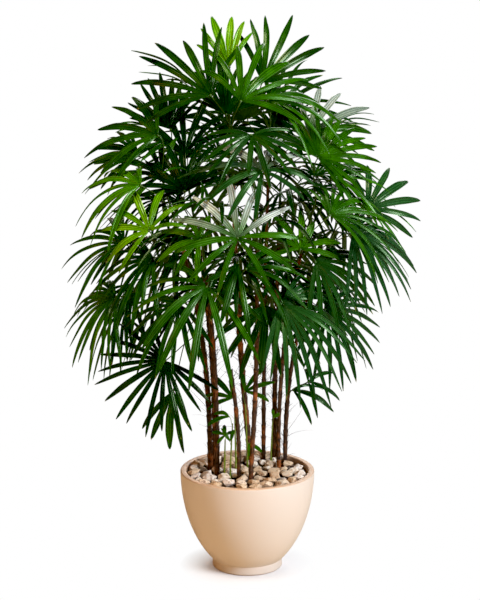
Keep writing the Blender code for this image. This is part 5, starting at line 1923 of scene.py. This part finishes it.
def stalk_material(name, stops):
    material, tree, output = new_material(name)
    grain = add_node(tree, "Attribute", {"attribute_name": "grain"})
    streaks_at = add_node(tree, "Mapping", {"Scale": (1000 / STREAK_SIZE_MM, 1000 / STREAK_SIZE_MM, 22.0)},
                          {"Vector": grain.outputs["Vector"]})
    streaks = add_node(tree, "TexNoise", {"Scale": 1.0, "Detail": 2.0},
                       {"Vector": streaks_at.outputs["Vector"]})
    tint = add_node(tree, "ValToRGB", links={"Fac": streaks.outputs["Fac"]}, stops=stops)
    bump = add_node(tree, "Bump", {"Strength": 0.3, "Distance": 0.0004}, {"Height": streaks.outputs["Fac"]})
    skin = add_node(tree, "BsdfPrincipled", {"IOR": 1.45, "Roughness": 0.38},
                    {"Base Color": tint.outputs["Color"], "Normal": bump.outputs["Normal"]})
    tree.links.new(skin.outputs[0], output.inputs["Surface"])
    return material


stalk_green = stalk_material("smooth green palm stalk",
                             ((0.30, "#1F3A0C"), (0.55, "#365A16"), (0.80, "#5F7F2C")))
shoot_green = stalk_material("young yellow-green palm shoot",
                             ((0.30, "#4F6A14"), (0.55, "#82962C"), (0.80, "#B4BC5C")))
print("materials:", stalk_green.name, "and", shoot_green.name)

# %% [markdown]
# A stalk follows the same curve as its plain one, with more points. It is thinner in the middle
# than at its two ends, where it widens into the stem and into the hub, and the hub where the
# leaflets meet has a small crest. Inside the crown the stems are still wrapped in brown sleeves
# below, and turn green towards the newest leaf.

# %% Stalks, hubs and crowns
STALK_ROWS = 14
STALK_COLUMNS = 8
STALK_MIDDLE = 0.62
STALK_FOOT = 1.30
STALK_HUB = 0.25
CREST_SIZE = (0.0042, 0.0042, 0.0030)
CROWN_COLUMNS = 12
CROWN_STEPS = 40
GREEN_FROM = 0.55
FIBRES_PER_CROWN = 60
SHOOT_ROWS = 8
SHOOT_THINNING = 0.4


def add_stalk_and_crest(bm, grain, placed):
    """The stalk of a frond, and the small crest where its leaflets meet."""
    line = stalk_points(placed.frond, placed.anchor, STALK_ROWS)
    radii = []
    for step in range(STALK_ROWS + 1):
        share = step / STALK_ROWS
        near_hub = max(0.0, 1.0 - share * 6)
        near_foot = max(0.0, (share - 0.7) / 0.3)
        thickness = STALK_MIDDLE + STALK_HUB * near_hub
        thickness += (STALK_FOOT - STALK_MIDDLE) * near_foot ** 2
        radii.append(placed.radius * thickness)
    add_tube(bm, grain, line, radii, STALK_COLUMNS)
    size = placed.radius / STALK_RADIUS
    along, across, upper = fan_axes(placed.frond)
    crest = bmesh.ops.create_icosphere(bm, subdivisions=2, radius=1.0)["verts"]
    hub = Vector(placed.frond.hub)
    for vert in crest:
        share = Vector(vert.co)
        vert.co = hub + (along * share.x * CREST_SIZE[0] + across * share.y * CREST_SIZE[1]
                         + upper * share.z * CREST_SIZE[2]) * size
        vert[grain] = share * 0.004


def crown_stem(bm, grain, rng, cane):
    """The upper stem of a cane in two parts: brown sleeves below and green above."""
    start = share_at_height(cane, cane.crown_start)
    line = [stem_point(cane, start + (1.0 - start) * step / CROWN_STEPS) for step in range(CROWN_STEPS + 1)]
    split = round(CROWN_STEPS * GREEN_FROM)
    add_cane(bm, grain, rng, line[:split + 1], lambda share: core_radius(cane, share * GREEN_FROM), 1.0,
             FIBRES_PER_CROWN)
    brown_faces = len(bm.faces)
    radii = [core_radius(cane, step / CROWN_STEPS) for step in range(split - 1, CROWN_STEPS + 1)]
    add_tube(bm, grain, line[split - 1:], radii, CROWN_COLUMNS)
    return brown_faces


def shoot_stem(bm, grain, shoot):
    low = Vector((*shoot.foot, LEAN_START))
    top = Vector(shoot.top)
    steps = range(1, SHOOT_ROWS + 1)
    line = [Vector((*shoot.foot, ROOT_DEPTH)), low] + [low.lerp(top, step / SHOOT_ROWS) for step in steps]
    radii = [shoot.radius] * 2
    radii += [shoot.radius * (1.0 - SHOOT_THINNING * step / SHOOT_ROWS) for step in steps]
    add_tube(bm, grain, line, radii, STALK_COLUMNS)


print("stalk rows:", STALK_ROWS)

# %% [markdown]
# Each frond has its own look. The youngest are lime, those deep inside the crown are almost
# black-green, which is painted shade, and a blue tint, mostly on the right, is painted cool light
# and sheen. The shown fronds have these two shares listed. The others get them from where they
# sit. Three of the shown ones are also painted pale with sheen where their leaflets rise. Every
# leaflet differs a little, and some have a pale dry tip.

# %% How young, how blue and how dry each leaflet is
# Each pair is how young and how blue a shown frond is. The blue share is painted cool light and sheen, and
# the darkest tones, deep in the crown, are painted shade.
FRONT_TONES = (
    (0.16, 0.0), (0.52, 0.0), (0.28, 0.0), (0.60, 0.0), (0.92, 0.0), (0.40, 0.0), (0.36, 0.0), (0.46, 0.0),
    (0.50, 0.0), (0.36, 0.1), (0.12, 0.0), (0.34, 0.1), (0.18, 0.1), (0.62, 0.1), (0.44, 0.3), (0.46, 0.2),
    (0.30, 0.6), (0.38, 0.0), (0.84, 0.0), (0.20, 0.0), (0.22, 0.1), (0.34, 0.0), (0.22, 0.4), (0.20, 0.3),
    (0.30, 0.2), (0.38, 0.1), (0.32, 0.4), (0.56, 0.1), (0.42, 0.0), (0.34, 0.2), (0.40, 0.1), (0.42, 0.2),
    (0.42, 0.8), (0.36, 0.9), (0.30, 0.5), (0.38, 0.7), (0.22, 0.7), (0.34, 0.5), (0.30, 0.5), (0.24, 0.0),
    (0.30, 0.2), (0.06, 0.0), (0.22, 0.0), (0.30, 0.0), (0.36, 0.0), (0.08, 0.0),
)
TONE_OF = {frond[1:]: tone for frond, tone in zip(FRONT_FRONDS, FRONT_TONES)}
# Three shown fronds get a painted sheen where their leaflets rise.
PAINTED_SHEEN_OF = {FRONT_FRONDS[place][1:]: painted_sheen for place, painted_sheen in ((15, 0.90), (16, 0.65), (29, 0.50))}
RISING_FROM = 0.3
RISING_GAIN = 3.0
INNER_HALF = 0.24
YOUNG_RANGE = 0.10
YOUNG_IN_PAINTED_SHADE = 0.16
YOUNG_OUTSIDE = 0.40
YOUNG_AT_TOP = 0.06
TOP_FROM = 1.15
TOP_DEPTH = 0.45
LIME_FROM = 0.82
LIME_YOUNGER = 0.35
BLUE_FROM = -0.02
BLUE_WIDTH = 0.30
BLUE_MOST = 0.55
BLUE_RANGE = 0.08
DRY_TIP_SHARE = 0.30
DRY_EDGE = (0.0, 0.012)
DRY_TIP = (0.012, 0.05)


def held(value):
    return min(max(value, 0.0), 1.0)


def frond_look(frond, rng):
    """How young and how blue a frond is: as listed if it is shown, else from where its hub sits."""
    draws = rng.uniform(-1, 1), rng.random()
    if frond[1:] in TONE_OF:
        young, blue = TONE_OF[frond[1:]]
        return young + YOUNG_RANGE * 0.3 * draws[0], blue
    x, y, z = frond.hub
    inside = math.hypot(x, y) < INNER_HALF
    # Fronds deep inside the crown are a darker green: painted shade.
    young = YOUNG_IN_PAINTED_SHADE if inside else YOUNG_OUTSIDE
    young += YOUNG_AT_TOP * max(0.0, (z - TOP_FROM) / TOP_DEPTH)
    young += YOUNG_RANGE * draws[0]
    if not inside and draws[1] > LIME_FROM:
        young += LIME_YOUNGER
    # The blue share grows towards the right: painted cool light and sheen.
    return young, held((x - BLUE_FROM) / BLUE_WIDTH) * BLUE_MOST


def leaflet_look(young, blue, rng):
    dry = rng.uniform(*DRY_EDGE)
    if rng.random() < DRY_TIP_SHARE:
        dry = rng.uniform(*DRY_TIP)
    young = held(young + rng.uniform(-YOUNG_RANGE, YOUNG_RANGE))
    return young, held(blue + rng.uniform(-BLUE_RANGE, BLUE_RANGE)), dry


def leaflet_painted_sheen(frond, leaflet):
    """How pale a leaflet is with painted sheen: a few of the shown fronds have it where they rise."""
    return PAINTED_SHEEN_OF.get(frond[1:], 0.0) * held((leaflet.heading.z - RISING_FROM) * RISING_GAIN)


# The second count is of fronds with a painted sheen.
print("fronds with a tone by hand:", len(TONE_OF), "and with wax:", len(PAINTED_SHEEN_OF))

# %% [markdown]
# Each crown becomes three pieces, its blades, its stalks and its stem, and each shoot two. All of
# them stand for the one solid of that name. So that curls and twists don't make the plant bigger,
# every point is kept inside the solid model's box.

# %% Build all crowns and shoots
LOOK_SEED = 9000
BOX_MARGIN = 0.0005
SHOOT_YOUNGER = 0.42


def keep_in_box(bm):
    """Keep every point inside the solid model's box."""
    for vert in bm.verts:
        for axis in range(3):
            lowest, highest = cad_low[axis] + BOX_MARGIN, cad_high[axis] - BOX_MARGIN
            vert.co[axis] = min(max(vert.co[axis], lowest), highest)


def build_plant(owner, cane, index):
    """The pieces of one crown or shoot: its blades, its stalks and its stem."""
    rng = random.Random(LOOK_SEED + index)
    slot_name = "leaf" if cane else "shoot"
    blades = bmesh.new()
    layers = (blades.verts.layers.float_vector.new("growth"), blades.verts.layers.float.new("painted_sheen"))
    blades.verts.layers.float.new("under")
    stalks = bmesh.new()
    grain = stalks.verts.layers.float_vector.new("grain")
    if not cane:
        shoot_stem(stalks, grain, SHOOTS[index - len(CANES)])
    for fan in FANS:
        if fan.placed.owner != owner:
            continue
        young, blue = frond_look(fan.placed.frond, rng)
        if not cane:
            young += SHOOT_YOUNGER
        for leaflet, room in fan.leaflets:
            look = leaflet_look(young, blue, rng)
            # A painted sheen where the leaflet rises.
            sheen_share = leaflet_painted_sheen(fan.placed.frond, leaflet)
            lay_blade(blades, layers, fan, leaflet, room, look, sheen_share, rng)
        add_stalk_and_crest(stalks, grain, fan.placed)
    keep_in_box(blades)
    keep_in_box(stalks)
    add_piece(owner + "_blades", blades, [leaf], slot_name, owner)
    add_piece(owner + "_stalks", stalks, [stalk_green if cane else shoot_green], slot_name, owner)
    if cane:
        stem = bmesh.new()
        grain = stem.verts.layers.float_vector.new("grain")
        brown_faces = crown_stem(stem, grain, rng, cane)
        stem.faces.ensure_lookup_table()
        for face in stem.faces[brown_faces:]:
            face.material_index = 1
        keep_in_box(stem)
        add_piece(owner + "_stem", stem, [sheath, stalk_green], "cane", owner)


for index, cane in enumerate(CANES):
    build_plant("crown_%02d" % (index + 1), cane, index)
for index in range(len(SHOOTS)):
    build_plant("shoot_%02d" % (index + 1), None, len(CANES) + index)
